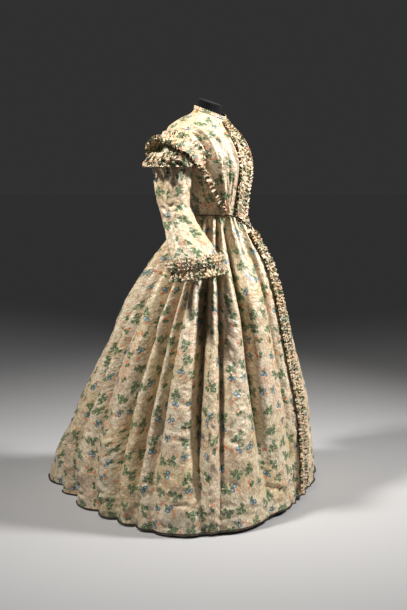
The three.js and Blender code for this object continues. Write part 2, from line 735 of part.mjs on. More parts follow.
SIDES.forEach(({ label, sign }) => {
  const grid = CAPE.map((row) => CAPE_COLUMNS.map((t) => {
    const point = capePoint(row, t);
    point.x *= sign;
    return point;
  }));
  add(`cape_${label}`, clothWall(grid, false, capeAxis), SILK);
  const strip = grid.map((line) => line.slice(-EDGE_TRIM_COLUMNS));
  const normals = gridNormals(grid, false, capeAxis).map((line) => line.slice(-EDGE_TRIM_COLUMNS));
  const rise = [EDGE_TRIM_SIDE, EDGE_TRIM_HEIGHT, EDGE_TRIM_SIDE];
  const top = movedOut(strip, normals, (r, c) => EDGE_TRIM_LIFT + rise[c]);
  const foot = movedOut(strip, normals, EDGE_TRIM_LIFT);
  add(`cape_trim_${label}`, solidFromGrids(top, foot, false), RUCHED);
});

// ---------------------------------------------------------------- sleeves
// The centre of a ring of one arm.
function armCentre(sign, [x, y, z]) {
  const t = Math.min(Math.max((DRAWN_BACK.from - z) / (DRAWN_BACK.from - DRAWN_BACK.to), 0), 1);
  const back = sign > 0 ? LEFT_CUFF_BACK * t * t * (3 - 2 * t) : 0;
  return [sign * x, y + back, z];
}

function ringLine(sign, at, across, along, out, forward, columns) {
  const centre = armCentre(sign, at);
  const line = [];
  for (let k = 0; k < columns; k += 1) {
    const turn = k / columns * 2 * Math.PI;
    const u = across * Math.cos(turn);
    const v = along * Math.sin(turn);
    const x = centre[0] + sign * u * Math.cos(radians(out));
    const y = centre[1] + v * Math.cos(radians(forward));
    const z = centre[2] + u * Math.sin(radians(out)) + v * Math.sin(radians(forward));
    line.push(new THREE.Vector3(x, y, z));
  }
  return line;
}

const ringCentre = (rows, sign) => (point, r) => new THREE.Vector3(...armCentre(sign, rows[r].at));

SIDES.forEach(({ label, sign }) => {
  const sleeve = SLEEVE.map((row) => (
    ringLine(sign, row.at, row.across, row.along, row.out, row.forward, SLEEVE_COLUMNS)
  ));
  const normals = gridNormals(sleeve, true, ringCentre(SLEEVE, sign));
  const inside = movedOut(sleeve, normals, -CLOTH_WALL);
  SLEEVE_PARTS.forEach(({ name, first, spans }) => {
    const [outer, inner] = [sleeve, inside].map((rings) => rings.map((ring) => (
      seamed(Array.from({ length: spans + 1 }, (_, k) => ring[(first + k) % SLEEVE_COLUMNS]))
    )));
    add(`${name}_${label}`, solidFromGrids(outer, inner, false), SILK);
  });

  const bandRings = (key) => CUFF_BAND.map((row) => (
    ringLine(sign, row.at, row[key], row[key] + CUFF_OVAL, 0, CUFF_TILT, FRILL_COLUMNS)
  ));
  add(`cuff_trim_${label}`, solidFromGrids(bandRings('radius'), bandRings('inner'), true), RUCHED);

  const frill = CUFF_FRILL.map((row) => (
    ringLine(sign, row.at, row.radius, row.radius + CUFF_OVAL, 0, CUFF_TILT, FRILL_COLUMNS)
  ));
  add(`cuff_frill_${label}`, clothWall(frill, true, ringCentre(CUFF_FRILL, sign)), SILK);

  const cap = CAP_FRILL.map((row) => (
    Array.from({ length: CAP_COLUMNS + 1 }, (_, k) => {
      const turn = radians(CAP_FROM + (CAP_TO - CAP_FROM) * k / CAP_COLUMNS);
      const x = row.at[0] + row.radius * Math.cos(turn);
      return new THREE.Vector3(sign * x, row.at[1] + row.radius * Math.sin(turn), row.at[2]);
    })
  ));
  add(`sleeve_cap_${label}`, clothWall(cap, false, ringCentre(CAP_FRILL, sign)), RUCHED);
});

export default dress;
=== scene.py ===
# %% [markdown]
# # A flowered silk afternoon dress on its form
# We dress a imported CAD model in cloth. The CAD gives every panel its size and place, and this
# lesson gives each panel its folds, creases, gathers and printed silk. Every object stays in
# metres, with the dress facing -Y and the wearer's left towards +X.

# %% Load the frame
import json
import math

import bpy
import numpy as np
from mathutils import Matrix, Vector

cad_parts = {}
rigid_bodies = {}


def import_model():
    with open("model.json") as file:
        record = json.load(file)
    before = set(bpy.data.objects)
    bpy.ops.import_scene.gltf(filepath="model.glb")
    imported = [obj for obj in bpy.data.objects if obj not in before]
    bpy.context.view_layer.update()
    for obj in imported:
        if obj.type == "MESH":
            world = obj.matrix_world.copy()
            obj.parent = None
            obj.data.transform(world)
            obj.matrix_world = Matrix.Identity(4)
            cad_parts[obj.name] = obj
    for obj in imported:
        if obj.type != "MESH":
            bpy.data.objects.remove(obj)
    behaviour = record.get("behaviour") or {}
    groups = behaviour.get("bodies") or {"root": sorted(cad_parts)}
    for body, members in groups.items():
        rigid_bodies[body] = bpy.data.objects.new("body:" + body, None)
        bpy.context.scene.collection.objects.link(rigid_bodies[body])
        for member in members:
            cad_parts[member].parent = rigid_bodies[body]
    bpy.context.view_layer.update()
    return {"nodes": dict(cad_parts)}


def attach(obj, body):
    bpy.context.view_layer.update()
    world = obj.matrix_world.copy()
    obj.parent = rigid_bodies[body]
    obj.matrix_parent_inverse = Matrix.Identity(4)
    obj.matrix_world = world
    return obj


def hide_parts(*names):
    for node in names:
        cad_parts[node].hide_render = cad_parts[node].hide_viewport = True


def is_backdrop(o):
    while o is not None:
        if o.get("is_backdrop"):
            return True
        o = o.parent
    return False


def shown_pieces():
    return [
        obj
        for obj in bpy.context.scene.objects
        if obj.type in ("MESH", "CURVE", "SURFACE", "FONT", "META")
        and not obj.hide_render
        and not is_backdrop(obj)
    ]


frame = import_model()

# %% [markdown]
# ## Camera
# A long lens from a few metres away keeps the skirt's proportions. Blender fits the sensor to
# the long side of the picture, so a tall picture needs the lens worked out from its height.

# %% Camera
VIEW_AZIMUTH = math.radians(-70)
VIEW_DISTANCE = 4.1
VIEW_HEIGHT = 1.2
VIEW_TARGET = Vector((-0.018, 0.0493, 0.69))
LENS_MM = 67.28

back = Vector((math.sin(VIEW_AZIMUTH), -math.cos(VIEW_AZIMUTH), 0))
camera_data = bpy.data.cameras.new("camera")
camera_data.lens = LENS_MM
camera = bpy.data.objects.new("camera", camera_data)
camera.location = VIEW_TARGET + back * VIEW_DISTANCE
camera.location.z = VIEW_HEIGHT
camera.rotation_euler = (VIEW_TARGET - camera.location).to_track_quat("-Z", "Y").to_euler()
bpy.context.scene.collection.objects.link(camera)
bpy.context.scene.camera = camera
print("camera at", tuple(round(v, 2) for v in camera.location))

# %% [markdown]
# ## Light and floor
# A small key light stands high on the wearer's right, a little behind, and rakes down across the
# folds, so each fold gets a bright flank and a dark one. A second light before the dress keeps
# its front bright, and a large weak one opens the shadows. `spread` narrows the beam, in
# degrees, so the hem stays darker than the shoulders. The floor is a plain pale disc, and
# the world round it is a plain grey that is a little brighter overhead.

# %% Light and floor
# Each light's place and aim in metres, then its size, watts, spread in degrees and tint.
LIGHTS = {
    "key": ((-1.35, 1.1, 3.3), (-0.15, -0.05, 1.05), 0.4, 25, 80, (1.0, 0.97, 0.92)),
    "front": ((0.75, -2.5, 2.6), (0.1, 0, 1.2), 0.6, 50, 90, (1.0, 0.98, 0.95)),
    "side": ((-3.4, -1.0, 1.9), (0, 0, 0.9), 2.0, 2, 180, (0.97, 0.98, 1.0))}
FLOOR_RADIUS = 40
FLOOR_TINT = (0.46, 0.46, 0.47, 1)
HORIZON_GREY, OVERHEAD_GREY = 0.0305, 0.068


for light_name, (place, aim, size, watts, spread, tint) in LIGHTS.items():
    light = bpy.data.lights.new(light_name, "AREA")
    light.size, light.energy, light.color = size, watts, tint
    light.spread = math.radians(spread)
    lamp = bpy.data.objects.new(light_name, light)
    lamp.location = place
    lamp.rotation_euler = (Vector(aim) - lamp.location).to_track_quat("-Z", "Y").to_euler()
    bpy.context.scene.collection.objects.link(lamp)

world = bpy.data.worlds.new("studio")
world.use_nodes = True
sky = world.node_tree
direction = sky.nodes.new("ShaderNodeTexCoord").outputs["Generated"]
height = sky.nodes.new("ShaderNodeSeparateXYZ")
sky.links.new(direction, height.inputs[0])
fade = sky.nodes.new("ShaderNodeMapRange")
sky.links.new(height.outputs[2], fade.inputs["Value"])
for socket, value in zip(("From Min", "From Max", "To Min", "To Max"),
                         (0.15, 0.9, HORIZON_GREY, OVERHEAD_GREY)):
    fade.inputs[socket].default_value = value
sky.links.new(fade.outputs[0], sky.nodes["Background"].inputs["Color"])
bpy.context.scene.world = world
bpy.context.scene.view_settings.view_transform = "Standard"

bpy.ops.mesh.primitive_circle_add(vertices=96, radius=FLOOR_RADIUS, fill_type="NGON")
floor = bpy.context.object
floor.name = "floor"
floor_paint = bpy.data.materials.new("floor_paint")
floor_paint.use_nodes = True
floor_paint.node_tree.nodes["Principled BSDF"].inputs["Base Color"].default_value = FLOOR_TINT
floor_paint.node_tree.nodes["Principled BSDF"].inputs["Roughness"].default_value = 0.8
floor.data.materials.append(floor_paint)
floor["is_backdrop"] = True
print("lights:", len(LIGHTS))

# %% [markdown]
# ## Wiring a material in code
# A node graph reads better as formulas. A small class adds a node, links whatever is another
# node's output, types in whatever is a plain number, and hands back the result. A second class
# starts a material with it, and later a third one starts a Geometry Nodes tree.

# %% A helper that writes node graphs as formulas
class Graph:
    """A node tree, with short names for the nodes that this lesson adds to it."""
    def put(self, socket, value):
        if isinstance(value, bpy.types.NodeSocket):
            self.tree.links.new(value, socket)
        elif value is not None:
            socket.default_value = value

    def node(self, kind, inputs=(), **settings):
        made = self.tree.nodes.new(kind)
        for key, value in settings.items():
            setattr(made, key, value)
        for key, value in dict(inputs).items():
            self.put(made.inputs[key], value)
        return made

    def math(self, operation, *values):
        made = self.node("ShaderNodeMath", enumerate(values), operation=operation)
        return made.outputs[0]

    def times(self, first, *rest):
        for other in rest:
            first = self.math("MULTIPLY", first, other)
        return first

    def minus(self, a, b):
        return self.math("SUBTRACT", a, b)

    def vector(self, operation, *values):
        made = self.node("ShaderNodeVectorMath", enumerate(values), operation=operation)
        return made.outputs["Value" if operation == "LENGTH" else "Vector"]


class Wiring(Graph):
    """The graph of a new material."""
    def __init__(self, name):
        self.material = bpy.data.materials.new(name)
        self.material.use_nodes = True
        self.tree = self.material.node_tree
        self.shader = self.tree.nodes["Principled BSDF"]

    def ramp(self, value, low, high, to_low=0.0, to_high=1.0):
        made = self.node("ShaderNodeMapRange", enumerate((value, low, high, to_low, to_high)),
                         interpolation_type="SMOOTHSTEP")
        return made.outputs[0]

    def mix(self, factor, a, b):
        return self.node("ShaderNodeMix", {0: factor, 6: a, 7: b}, data_type="RGBA").outputs[2]

    def noise(self, vector, scale, detail=2.0, roughness=0.5, output=0):
        made = self.node("ShaderNodeTexNoise", {"Vector": vector, "Scale": scale,
                                                "Detail": detail, "Roughness": roughness})
        return made.outputs[output]

    def bump(self, height, distance, strength=1.0, normal=None):
        made = self.node("ShaderNodeBump", {"Height": height, "Distance": distance,
                                            "Strength": strength, "Normal": normal})
        return made.outputs[0]

    def finish(self, colours, normal, **settings):
        """Wires the shader, with its settings named as in Blender but for the spaces."""
        self.put(self.shader.inputs["Base Color"], colours)
        self.put(self.shader.inputs["Normal"], normal)
        for label, value in settings.items():
            self.put(self.shader.inputs[label.replace("_", " ")], value)
        return self.material


print("wiring ready")

# %% [markdown]
# ## The printed silk
# The silk is a crisp cream taffeta with a small sprig print. A real print repeats on a grid, so
# a Voronoi texture gives one cell to each sprig, and each cell's random colour decides which
# sprig it holds and how it is turned. Formulas on the distance from the cell's middle draw the
# leaves and petals. The print follows the cloth because it reads a UV map measured in metres.

# %% Colours of the silk
def colour(red, green, blue):
    """A colour typed as it shows on a screen, from 0 to 255, as Blender's linear colour."""
    return tuple((v / 255) ** 2.2 for v in (red, green, blue)) + (1,)


CREAM = colour(230, 218, 194)
CREAM_PINK = colour(222, 198, 174)
CREAM_GOLD = colour(216, 194, 152)
BLUSH = colour(226, 176, 146)
LINE_TAN = colour(156, 122, 84)
LINE_ROSE = colour(196, 158, 128)
FLECK_GREEN = colour(154, 152, 118)
LEAF_DARK = colour(44, 74, 50)
LEAF_PALE = colour(118, 142, 100)
PETAL_BLUE = colour(96, 122, 142)
PETAL_PALE = colour(170, 192, 186)
PETAL_EDGE = colour(78, 92, 100)
BUD_ORANGE = colour(200, 116, 62)
BUD_ROSE = colour(204, 138, 104)
print("silk colours set")

# %% The sprig print
SPRIG_CELL = 0.057
LEAFLET_CELL = 0.031
SPRIG_SCATTER = 0.62


def cell(w, uv, size, scatter):
    """The place inside a cell, in metres from its middle, and three random numbers of the cell."""
    voronoi = w.node("ShaderNodeTexVoronoi",
                     {"Vector": uv, "Scale": 1 / size, "Randomness": scatter},
                     voronoi_dimensions="2D")
    local = w.vector("SUBTRACT", uv, voronoi.outputs["Position"])
    dice = w.node("ShaderNodeSeparateColor", {0: voronoi.outputs["Color"]}).outputs
    return local, dice


def turned(w, local, angle):
    made = w.node("ShaderNodeVectorRotate", {"Vector": local, "Angle": angle}, rotation_type="Z_AXIS")
    return made.outputs[0]


def spot(w, local, x, y, radius, soft=0.22):
    """1 inside a round spot and 0 outside it."""
    reach = w.vector("LENGTH", w.vector("SUBTRACT", local, (x, y, 0)))
    return w.ramp(reach, radius * (1 - soft), radius * (1 + soft), 1, 0)


# Shares of a leaf's radius, and how pointed its tip is.
LEAF_REACH, LEAF_MIDDLE, LEAF_RAGGED, LEAF_SOFT, LEAF_POINT = 0.95, 0.2, 1.5, 0.12, 0.8


def leaves(w, local, radius, wobble, lobes=3):
    """A spray of leaves round the middle."""
    axes = w.node("ShaderNodeSeparateXYZ", {0: local}).outputs
    turn = w.math("ARCTAN2", axes[1], axes[0])
    ribs = w.math("ABSOLUTE", w.math("COSINE", w.times(turn, lobes / 2)))
    edge = w.math("MULTIPLY_ADD", w.math("POWER", ribs, LEAF_POINT), radius * LEAF_REACH,
                  radius * LEAF_MIDDLE)
    edge = w.math("ADD", edge, w.times(w.minus(wobble, 0.5), radius * LEAF_RAGGED))
    reach = w.vector("LENGTH", local)
    return w.ramp(w.minus(edge, reach), 0, radius * LEAF_SOFT)


def either(w, first, *rest):
    for other in rest:
        first = w.math("MAXIMUM", first, other)
    return first


def spots(w, local, places):
    """1 inside any of these round spots: each is its x, y and radius in metres."""
    return either(w, *[spot(w, local, *place) for place in places])


def leaf_at(w, local, wobble, x, y, radius, lobes):
    return leaves(w, w.vector("SUBTRACT", local, (x, y, 0)), radius, wobble, lobes)


# The cell's random number is below the first share for a leaf and above the second for a bud.
LEAF_UP_TO, BUD_FROM, STEP = 0.54, 0.80, 0.001
MOST_TURN, JITTER = 3.4, 0.009
FLOWER = [(PETAL_EDGE, [(0.0070, 0.004, 0.0078), (-0.0072, 0.001, 0.0070)]),
          (PETAL_BLUE, [(0.0078, 0.0045, 0.0056), (-0.0075, 0.0012, 0.005)]),
          (PETAL_PALE, [(0.0084, 0.0054, 0.0036), (-0.0070, 0.0016, 0.0026)])]
BELOW_FLOWER, BELOW_SHARE = (0.001, -0.0105, 0.0048), 0.75
BUDS = [(0.002, 0.001, 0.0056), (-0.006, 0.006, 0.0036)]
# Each leaf is its x, y and radius in metres and its lobes.
SIDE_LEAF, FLOWER_LEAF = (0.016, -0.012, 0.0100, 2), (0.0, 0.012, 0.0105, 3)
BUD_LEAF, SPRAY_RADIUS = (-0.004, -0.009, 0.011, 2), 0.0175
# How many times in a metre the noise behind the edges, the drift, the greens and the wear comes.
EDGE_NOISE, DRIFT_NOISE, GREEN_NOISE, WEAR_NOISE = 170, 130, 190, 150
MOST_WORN, LEAST_WORN = 0.60, 0.95


def sprig_print(w, uv, ground):
    """The sprigs drawn over the ground colour."""
    wobble = w.noise(uv, EDGE_NOISE)
    local, dice = cell(w, uv, SPRIG_CELL, SPRIG_SCATTER)
    local = turned(w, local, w.times(w.minus(dice[0], 0.5), MOST_TURN))
    jitter = w.vector("SUBTRACT", w.noise(uv, DRIFT_NOISE, output=1), (0.5, 0.5, 0.5))
    local = w.vector("ADD", local, w.vector("MULTIPLY", jitter, (JITTER, JITTER, 0)))
    is_leaf = w.ramp(dice[1], LEAF_UP_TO, LEAF_UP_TO + STEP, 1, 0)
    is_bud = w.ramp(dice[1], BUD_FROM, BUD_FROM + STEP)
    is_flower = w.times(w.ramp(dice[1], LEAF_UP_TO, LEAF_UP_TO + STEP),
                        w.ramp(dice[1], BUD_FROM, BUD_FROM + STEP, 1, 0))
    green = w.mix(w.ramp(w.noise(uv, GREEN_NOISE), 0.42, 0.60), LEAF_DARK, LEAF_PALE)
    worn = w.ramp(w.noise(uv, WEAR_NOISE), 0.28, 0.50, MOST_WORN, LEAST_WORN)
    faded = w.times(is_flower, worn)

    spray = leaves(w, local, SPRAY_RADIUS, wobble)
    side_leaf = leaf_at(w, local, wobble, *SIDE_LEAF)
    out = w.mix(w.times(either(w, spray, side_leaf), is_leaf, worn), ground, green)
    flower_leaf = leaf_at(w, local, wobble, *FLOWER_LEAF)
    out = w.mix(w.times(flower_leaf, faded), out, green)
    out = w.mix(w.times(spot(w, local, *BELOW_FLOWER), is_flower, BELOW_SHARE), out, BUD_ORANGE)
    for tint, places in FLOWER:
        out = w.mix(w.times(spots(w, local, places), faded), out, tint)
    bud_leaf = leaf_at(w, local, wobble, *BUD_LEAF)
    out = w.mix(w.times(bud_leaf, is_bud), out, green)
    bud_tint = w.mix(dice[2], BUD_ORANGE, BUD_ROSE)
    return w.mix(w.times(spots(w, local, BUDS), is_bud), out, bud_tint)


LEAFLET_RADIUS, LEAFLET_SCATTER, LEAFLET_SHARE, LEAFLETS_UP_TO = 0.0056, 0.9, 0.7, 0.42


def leaflets(w, uv, ground):
    """Small loose leaves and stems between the sprigs."""
    local, dice = cell(w, uv, LEAFLET_CELL, LEAFLET_SCATTER)
    local = turned(w, local, w.times(dice[0], 6.28))
    shown = w.ramp(dice[1], LEAFLETS_UP_TO, LEAFLETS_UP_TO + STEP, 1, 0)
    leaf = leaves(w, local, LEAFLET_RADIUS, dice[2], 2)
    tint = w.mix(w.ramp(dice[2], 0.3, 0.7), LEAF_PALE, BUD_ROSE)
    return w.mix(w.times(leaf, shown, LEAFLET_SHARE), ground, tint)


def scribble(w, uv, scale, width):
    """Fine curling lines: the places where a smooth noise passes through its middle value."""
    level = w.noise(uv, scale, 1.5, 0.6)
    return w.ramp(w.math("ABSOLUTE", w.minus(level, 0.5)), width * 0.35, width, 1, 0)


print("print formulas ready")

# %% Silk materials
CLOTH_UV = "cloth"


# How many times in a metre each figure comes, and how strongly it shows.
PER_METRE = {"patches": 3.2, "clouds": 7.5, "blush": 14, "flecks": 240, "lines": 46,
             "thin_lines": 84, "weave": 900, "crinkle": 70, "folds": 26}
SHARE = {"blush": 0.55, "flecks": 0.16, "lines": 0.55, "thin_lines": 0.35, "weave": 0.05}
LINE_WIDTH, THIN_LINE_WIDTH = 0.05, 0.07
# How deep each relief is in metres, and how much of that gathered silk gives up.
RELIEF = {"folds": (0.011, 0.005), "crinkle": (0.0026, 0.0006)}
WEAVE_RELIEF = 0.0002
SMOOTHEST, ROUGHEST = 0.34, 0.50


def silk(name, painted_shade_tone=1.0, gathered=0.0):
    """The printed silk. Gathered silk is painted a little darker, as painted shade for its gathers,
    and its small relief is shallower.
    """
    w = Wiring(name)
    uv = w.node("ShaderNodeUVMap", uv_map=CLOTH_UV).outputs[0]

    def figure(key, detail, *roughness):
        return w.noise(uv, PER_METRE[key], detail, *roughness)

    ground = w.mix(w.ramp(figure("patches", 2), 0.38, 0.62), CREAM_PINK, CREAM_GOLD)
    ground = w.mix(w.ramp(figure("clouds", 3), 0.35, 0.7), ground, CREAM)
    lines = scribble(w, uv, PER_METRE["lines"], LINE_WIDTH)
    thin_lines = scribble(w, uv, PER_METRE["thin_lines"], THIN_LINE_WIDTH)
    for key, mask, tint in (("blush", w.ramp(figure("blush", 3, 0.6), 0.52, 0.72), BLUSH),
                            ("flecks", w.ramp(figure("flecks", 2, 0.7), 0.40, 0.66), LINE_ROSE),
                            ("lines", lines, LINE_TAN), ("thin_lines", thin_lines, FLECK_GREEN)):
        ground = w.mix(w.times(mask, SHARE[key]), ground, tint)
    colours = sprig_print(w, uv, leaflets(w, uv, ground))
    weave = w.node("ShaderNodeTexWave", {"Vector": uv, "Scale": PER_METRE["weave"],
                                         "Distortion": 0.6, "Detail": 1.0},
                   bands_direction="Y").outputs[1]
    colours = w.mix(SHARE["weave"], colours, w.mix(weave, colours, (0, 0, 0, 1)))
    # Painted shade: gathered silk is mixed a little towards tan, making a darker copy of the same
    # silk.
    if painted_shade_tone != 1.0:
        colours = w.mix(1 - painted_shade_tone, colours, LINE_TAN)

    crinkle = figure("crinkle", 3, 0.62)
    folds = w.math("ABSOLUTE", w.minus(figure("folds", 2, 0.55), 0.5))
    normal = None
    for key, height, strength in (("folds", folds, 0.75), ("crinkle", crinkle, 0.6)):
        deep, given_up = RELIEF[key]
        normal = w.bump(height, deep - given_up * gathered, strength, normal)
    normal = w.bump(weave, WEAVE_RELIEF, 0.15, normal)
    return w.finish(colours, normal, Roughness=w.ramp(crinkle, 0.3, 0.7, SMOOTHEST, ROUGHEST),
                    Specular_IOR_Level=0.45, Sheen_Weight=0.06, Sheen_Roughness=0.4,
                    Sheen_Tint=colour(255, 244, 220))


SILK = silk("printed_silk")
# The gathered silk is the printed silk painted a little darker: painted shade for its gathers.
RUCHED = silk("gathered_silk", 0.92, 1.0)
print("silk:", len(SILK.node_tree.nodes), "nodes")

# %% [markdown]
# ## Braid, form cover and stand
# The hem is bound with a dark woven braid, the form wears a near-black cotton cover, and its
# pole and foot are painted steel. Each is a short graph with its own fine grain.

# %% Plain materials
RIBS_PER_METRE, THREADS_PER_METRE, PEEL_PER_METRE = 260, 900, 240
RIB_RELIEF, THREAD_RELIEF, PEEL_RELIEF = 0.0008, 0.0003, 0.0003


def plain_wiring(name):
    w = Wiring(name)
    return w, w.node("ShaderNodeTexCoord").outputs["Object"]


def braid_cloth():
    w, place = plain_wiring("dark_braid")
    ribs = w.node("ShaderNodeTexWave", {"Vector": place, "Scale": RIBS_PER_METRE,
                                        "Distortion": 1.2, "Detail": 2.0},
                  bands_direction="DIAGONAL").outputs[1]
    return w.finish(w.mix(ribs, colour(26, 20, 16), colour(58, 46, 34)),
                    w.bump(ribs, RIB_RELIEF, 0.6), Roughness=0.75, Sheen_Weight=0.2)


def form_cotton():
    w, place = plain_wiring("form_cotton")
    threads = w.noise(place, THREADS_PER_METRE)
    return w.finish(w.mix(w.noise(place, 30, 3), colour(5, 5, 6), colour(14, 14, 17)),
                    w.bump(threads, THREAD_RELIEF, 0.5), Roughness=0.95,
                    Specular_IOR_Level=0.2, Sheen_Weight=0.05, Sheen_Roughness=0.5)


def painted_steel():
    w, place = plain_wiring("painted_steel")
    scuffs = w.ramp(w.noise(place, 14, 5, 0.7), 0.58, 0.72)
    return w.finish(w.mix(scuffs, colour(38, 38, 41), colour(62, 61, 62)),
                    w.bump(w.noise(place, PEEL_PER_METRE), PEEL_RELIEF, 0.3),
                    Roughness=w.ramp(scuffs, 0, 1, 0.34, 0.6))


BRAID = braid_cloth()
COTTON = form_cotton()
STEEL = painted_steel()
print("plain materials ready")

# %% [markdown]
# ## Reading the pattern tables
# A dressmaker's draft is a short table of measures with smooth lines drawn between them. These
# tables hold the same measures as the solids, in millimetres, and one function reads a column
# at any height along a smooth line.

# %% Tables and smooth reading
MM = 0.001


def table(names, rows):
    """Named columns of a table of numbers."""
    return {name: np.array(values, float) for name, values in zip(names.split(), zip(*rows))}


def read(rows, key, z):
    """A column at heights z, on smooth lines through the table's rows."""
    x, y = rows["z"], rows[key]
    low = np.r_[0, np.arange(len(x) - 1)]
    high = np.r_[np.arange(1, len(x)), len(x) - 1]
    slope = (y[high] - y[low]) / (x[high] - x[low])
    z = np.clip(z, x[0], x[-1])
    i = np.clip(np.searchsorted(x, z, side="right") - 1, 0, len(x) - 2)
    span = x[i + 1] - x[i]
    t = (z - x[i]) / span
    rise = y[i + 1] - y[i]
    m0 = slope[i] * span
    m1 = slope[i + 1] * span
    return y[i] + t * (m0 + t * (3 * rise - 2 * m0 - m1 + t * (m0 + m1 - 2 * rise)))


def along(points, t):
    """A smooth line through points, read at t, where whole numbers are the points."""
    points = np.asarray(points, float)
    padded = np.concatenate([[2 * points[0] - points[1]], points, [2 * points[-1] - points[-2]]])
    i = np.clip(np.floor(t).astype(int), 0, len(points) - 2)
    f = (t - i).reshape(t.shape + (1,) * (points.ndim - 1))
    a, b, c, d = (padded[i + k] for k in range(4))
    return b + 0.5 * f * (c - a + f * (2 * a - 5 * b + 4 * c - d + f * (3 * (b - c) + d - a)))


TORSO = table("z y a front back", [
    (950, 0, 160, 129, 146), (990, 0, 137, 107, 110), (1020, 0, 118, 92, 92),
    (1060, 3, 122, 97, 98), (1100, 6, 132, 105, 107), (1180, 14, 150, 120, 126),
    (1240, 28, 163, 118, 131), (1280, 40, 171, 110, 127), (1315, 46, 166, 90, 116),
    (1342, 46, 132, 72, 100), (1364, 41, 90, 61, 78), (1380, 35, 64, 55, 61),
    (1400, 31, 56, 51, 54), (1440, 27, 53, 48, 50)])
HIPS = table("z a front back", [
    (770, 146, 102, 112), (850, 158, 112, 122), (900, 150, 106, 118),
    (960, 128, 96, 100), (990, 117, 89, 90), (1020, 112, 86, 86)])
SKIRT = table("z a front back round_front round_back", [
    (0, 557, 322, 680, 2.5, 1.38), (80, 546, 319, 658, 2.45, 1.47),
    (180, 516, 314, 606, 2.3, 1.65), (350, 450, 297, 518, 2.25, 1.75),
    (550, 370, 255, 415, 2.2, 1.85), (720, 284, 222, 339, 2.15, 1.9),
    (850, 206, 184, 250, 2.05, 2), (930, 168, 140, 184, 2, 2),
    (990, 137, 107, 110, 2, 2), (1020, 118, 92, 92, 2, 2)])
WAIST_HEIGHT, WAIST_DROP, WAIST_SPREAD = 1020, 55, 50
HEM_LIFT, NECK_FOOT, NECK_DROP = 18, 1392, 40
print("tables:", len(TORSO["z"]), "bodice and", len(SKIRT["z"]), "skirt sections")


# %% Lines round the body
def unfold(angle):
    return np.abs(np.arctan2(np.sin(angle), np.cos(angle)))


def waist_z(angle):
    """The waist seam dips to a point at the centre front."""
    near = np.clip(1 - unfold(angle) / math.radians(WAIST_SPREAD), 0, None)
    return WAIST_HEIGHT - WAIST_DROP * near ** 1.4


def hem_z(angle):
    return HEM_LIFT * ((1 + np.cos(angle)) / 2) ** 1.5


def neck_z(angle):
    return NECK_FOOT - NECK_DROP * ((1 + np.cos(angle)) / 2) ** 1.5


def oval(angle, half_width, front, behind):
    """The radius of a section made of two half ovals."""
    depth = np.where(np.cos(angle) > 0, front, behind)
    return 1 / np.hypot(np.sin(angle) / half_width, np.cos(angle) / depth)


def oval_at(rows, angle, z):
    return oval(angle, *[read(rows, key, z) for key in ("a", "front", "back")])


def placed(angle, r, middle, z, side=1):
    """Points at an angle and radius round a middle depth. Angle 0 is the centre front."""
    return np.stack([side * r * np.sin(angle), middle - r * np.cos(angle), z + 0 * r], -1)


def torso(angle, z, lift=0.0):
    """Points on the bodice, moved out by lift."""
    return placed(angle, oval_at(TORSO, angle, z) + lift, read(TORSO, "y", z), z)


def skirt_radius(angle, z):
    s, c = np.abs(np.sin(angle)), np.cos(angle)
    front = c > 0
    n = np.where(front, read(SKIRT, "round_front", z), read(SKIRT, "round_back", z))
    b = np.where(front, read(SKIRT, "front", z), read(SKIRT, "back", z))
    return ((s / read(SKIRT, "a", z)) ** n + (np.abs(c) / b) ** n) ** (-1 / n)


print("waist point at", waist_z(np.array(0.0)), "mm")

# %% [markdown]
# ## Creases and crumple
# Silk creases sharply. A crease here is a straight or bowed line drawn on the flattened piece, with a
# width and a depth, that dies away at both ends. Crumple is the small random faceting between them,
# from a ridged noise with a fixed seed, so each run is the same.

# %% Creases and crumple
CREASE_SHARPNESS = 1.4


def creases(x, y, rows):
    """How far each place sinks: rows are x0, y0, x1, y1, width, depth and bow, in millimetres."""
    sunk = np.zeros(np.broadcast(x, y).shape)
    for x0, y0, x1, y1, width, depth, bow in rows:
        dx, dy = x1 - x0, y1 - y0
        length = math.hypot(dx, dy)
        s = ((x - x0) * dx + (y - y0) * dy) / length ** 2
        off = ((x - x0) * dy - (y - y0) * dx) / length - bow * np.sin(np.pi * np.clip(s, 0, 1))
        fade = np.clip(1 - (2 * s - 1) ** 4, 0, 1) * (np.abs(2 * s - 1) < 1)
        reach = np.abs(off) / (width * (0.55 + 0.45 * fade))
        sunk += depth * fade * np.exp(-reach ** CREASE_SHARPNESS)
    return sunk


def smooth_noise(x, y, size, seed):
    """Noise from 0 to 1 whose bumps are about size across."""
    lattice = np.random.RandomState(seed).rand(128, 128)
    x, y = np.asarray(x) / size, np.asarray(y) / size
    i, j = np.floor(x).astype(int), np.floor(y).astype(int)
    fx, fy = x - i, y - j
    fx, fy = fx * fx * (3 - 2 * fx), fy * fy * (3 - 2 * fy)
    corner = [[lattice[(j + b) % 128, (i + a) % 128] for a in (0, 1)] for b in (0, 1)]
    low = corner[0][0] * (1 - fx) + corner[0][1] * fx
    high = corner[1][0] * (1 - fx) + corner[1][1] * fx
    return low * (1 - fy) + high * fy


OCTAVES, FIRST_SHARE, FINER = 3, 0.62, 1.9
WARP_SIZE, WARP_REACH, RIDGE_POWER, RIDGE_MIDDLE = 2.3, 2.2, 1.5, 0.35
RIDGE_MOST = 1.085


def crumple(x, y, size, seed):
    """Sharp random ridges about size apart, from -0.5 to 0.5."""
    warp = smooth_noise(x, y, size * WARP_SIZE, seed + 1) * size * WARP_REACH
    ridge = 0.0
    share = FIRST_SHARE
    for octave in range(OCTAVES):
        level = smooth_noise(x + warp, y - warp, size / FINER ** octave, seed + 7 * octave)
        ridge = ridge + share * (1 - np.abs(2 * level - 1))
        share *= 0.5
    return (ridge / RIDGE_MOST) ** RIDGE_POWER - RIDGE_MIDDLE


def laid_flat(rows, place):
    """Crease rows whose two ends are moved onto the flattened piece by a function."""
    return [(*place(*row[:2]), *place(*row[2:4]), *row[4:]) for row in rows]


print("crease tools ready")

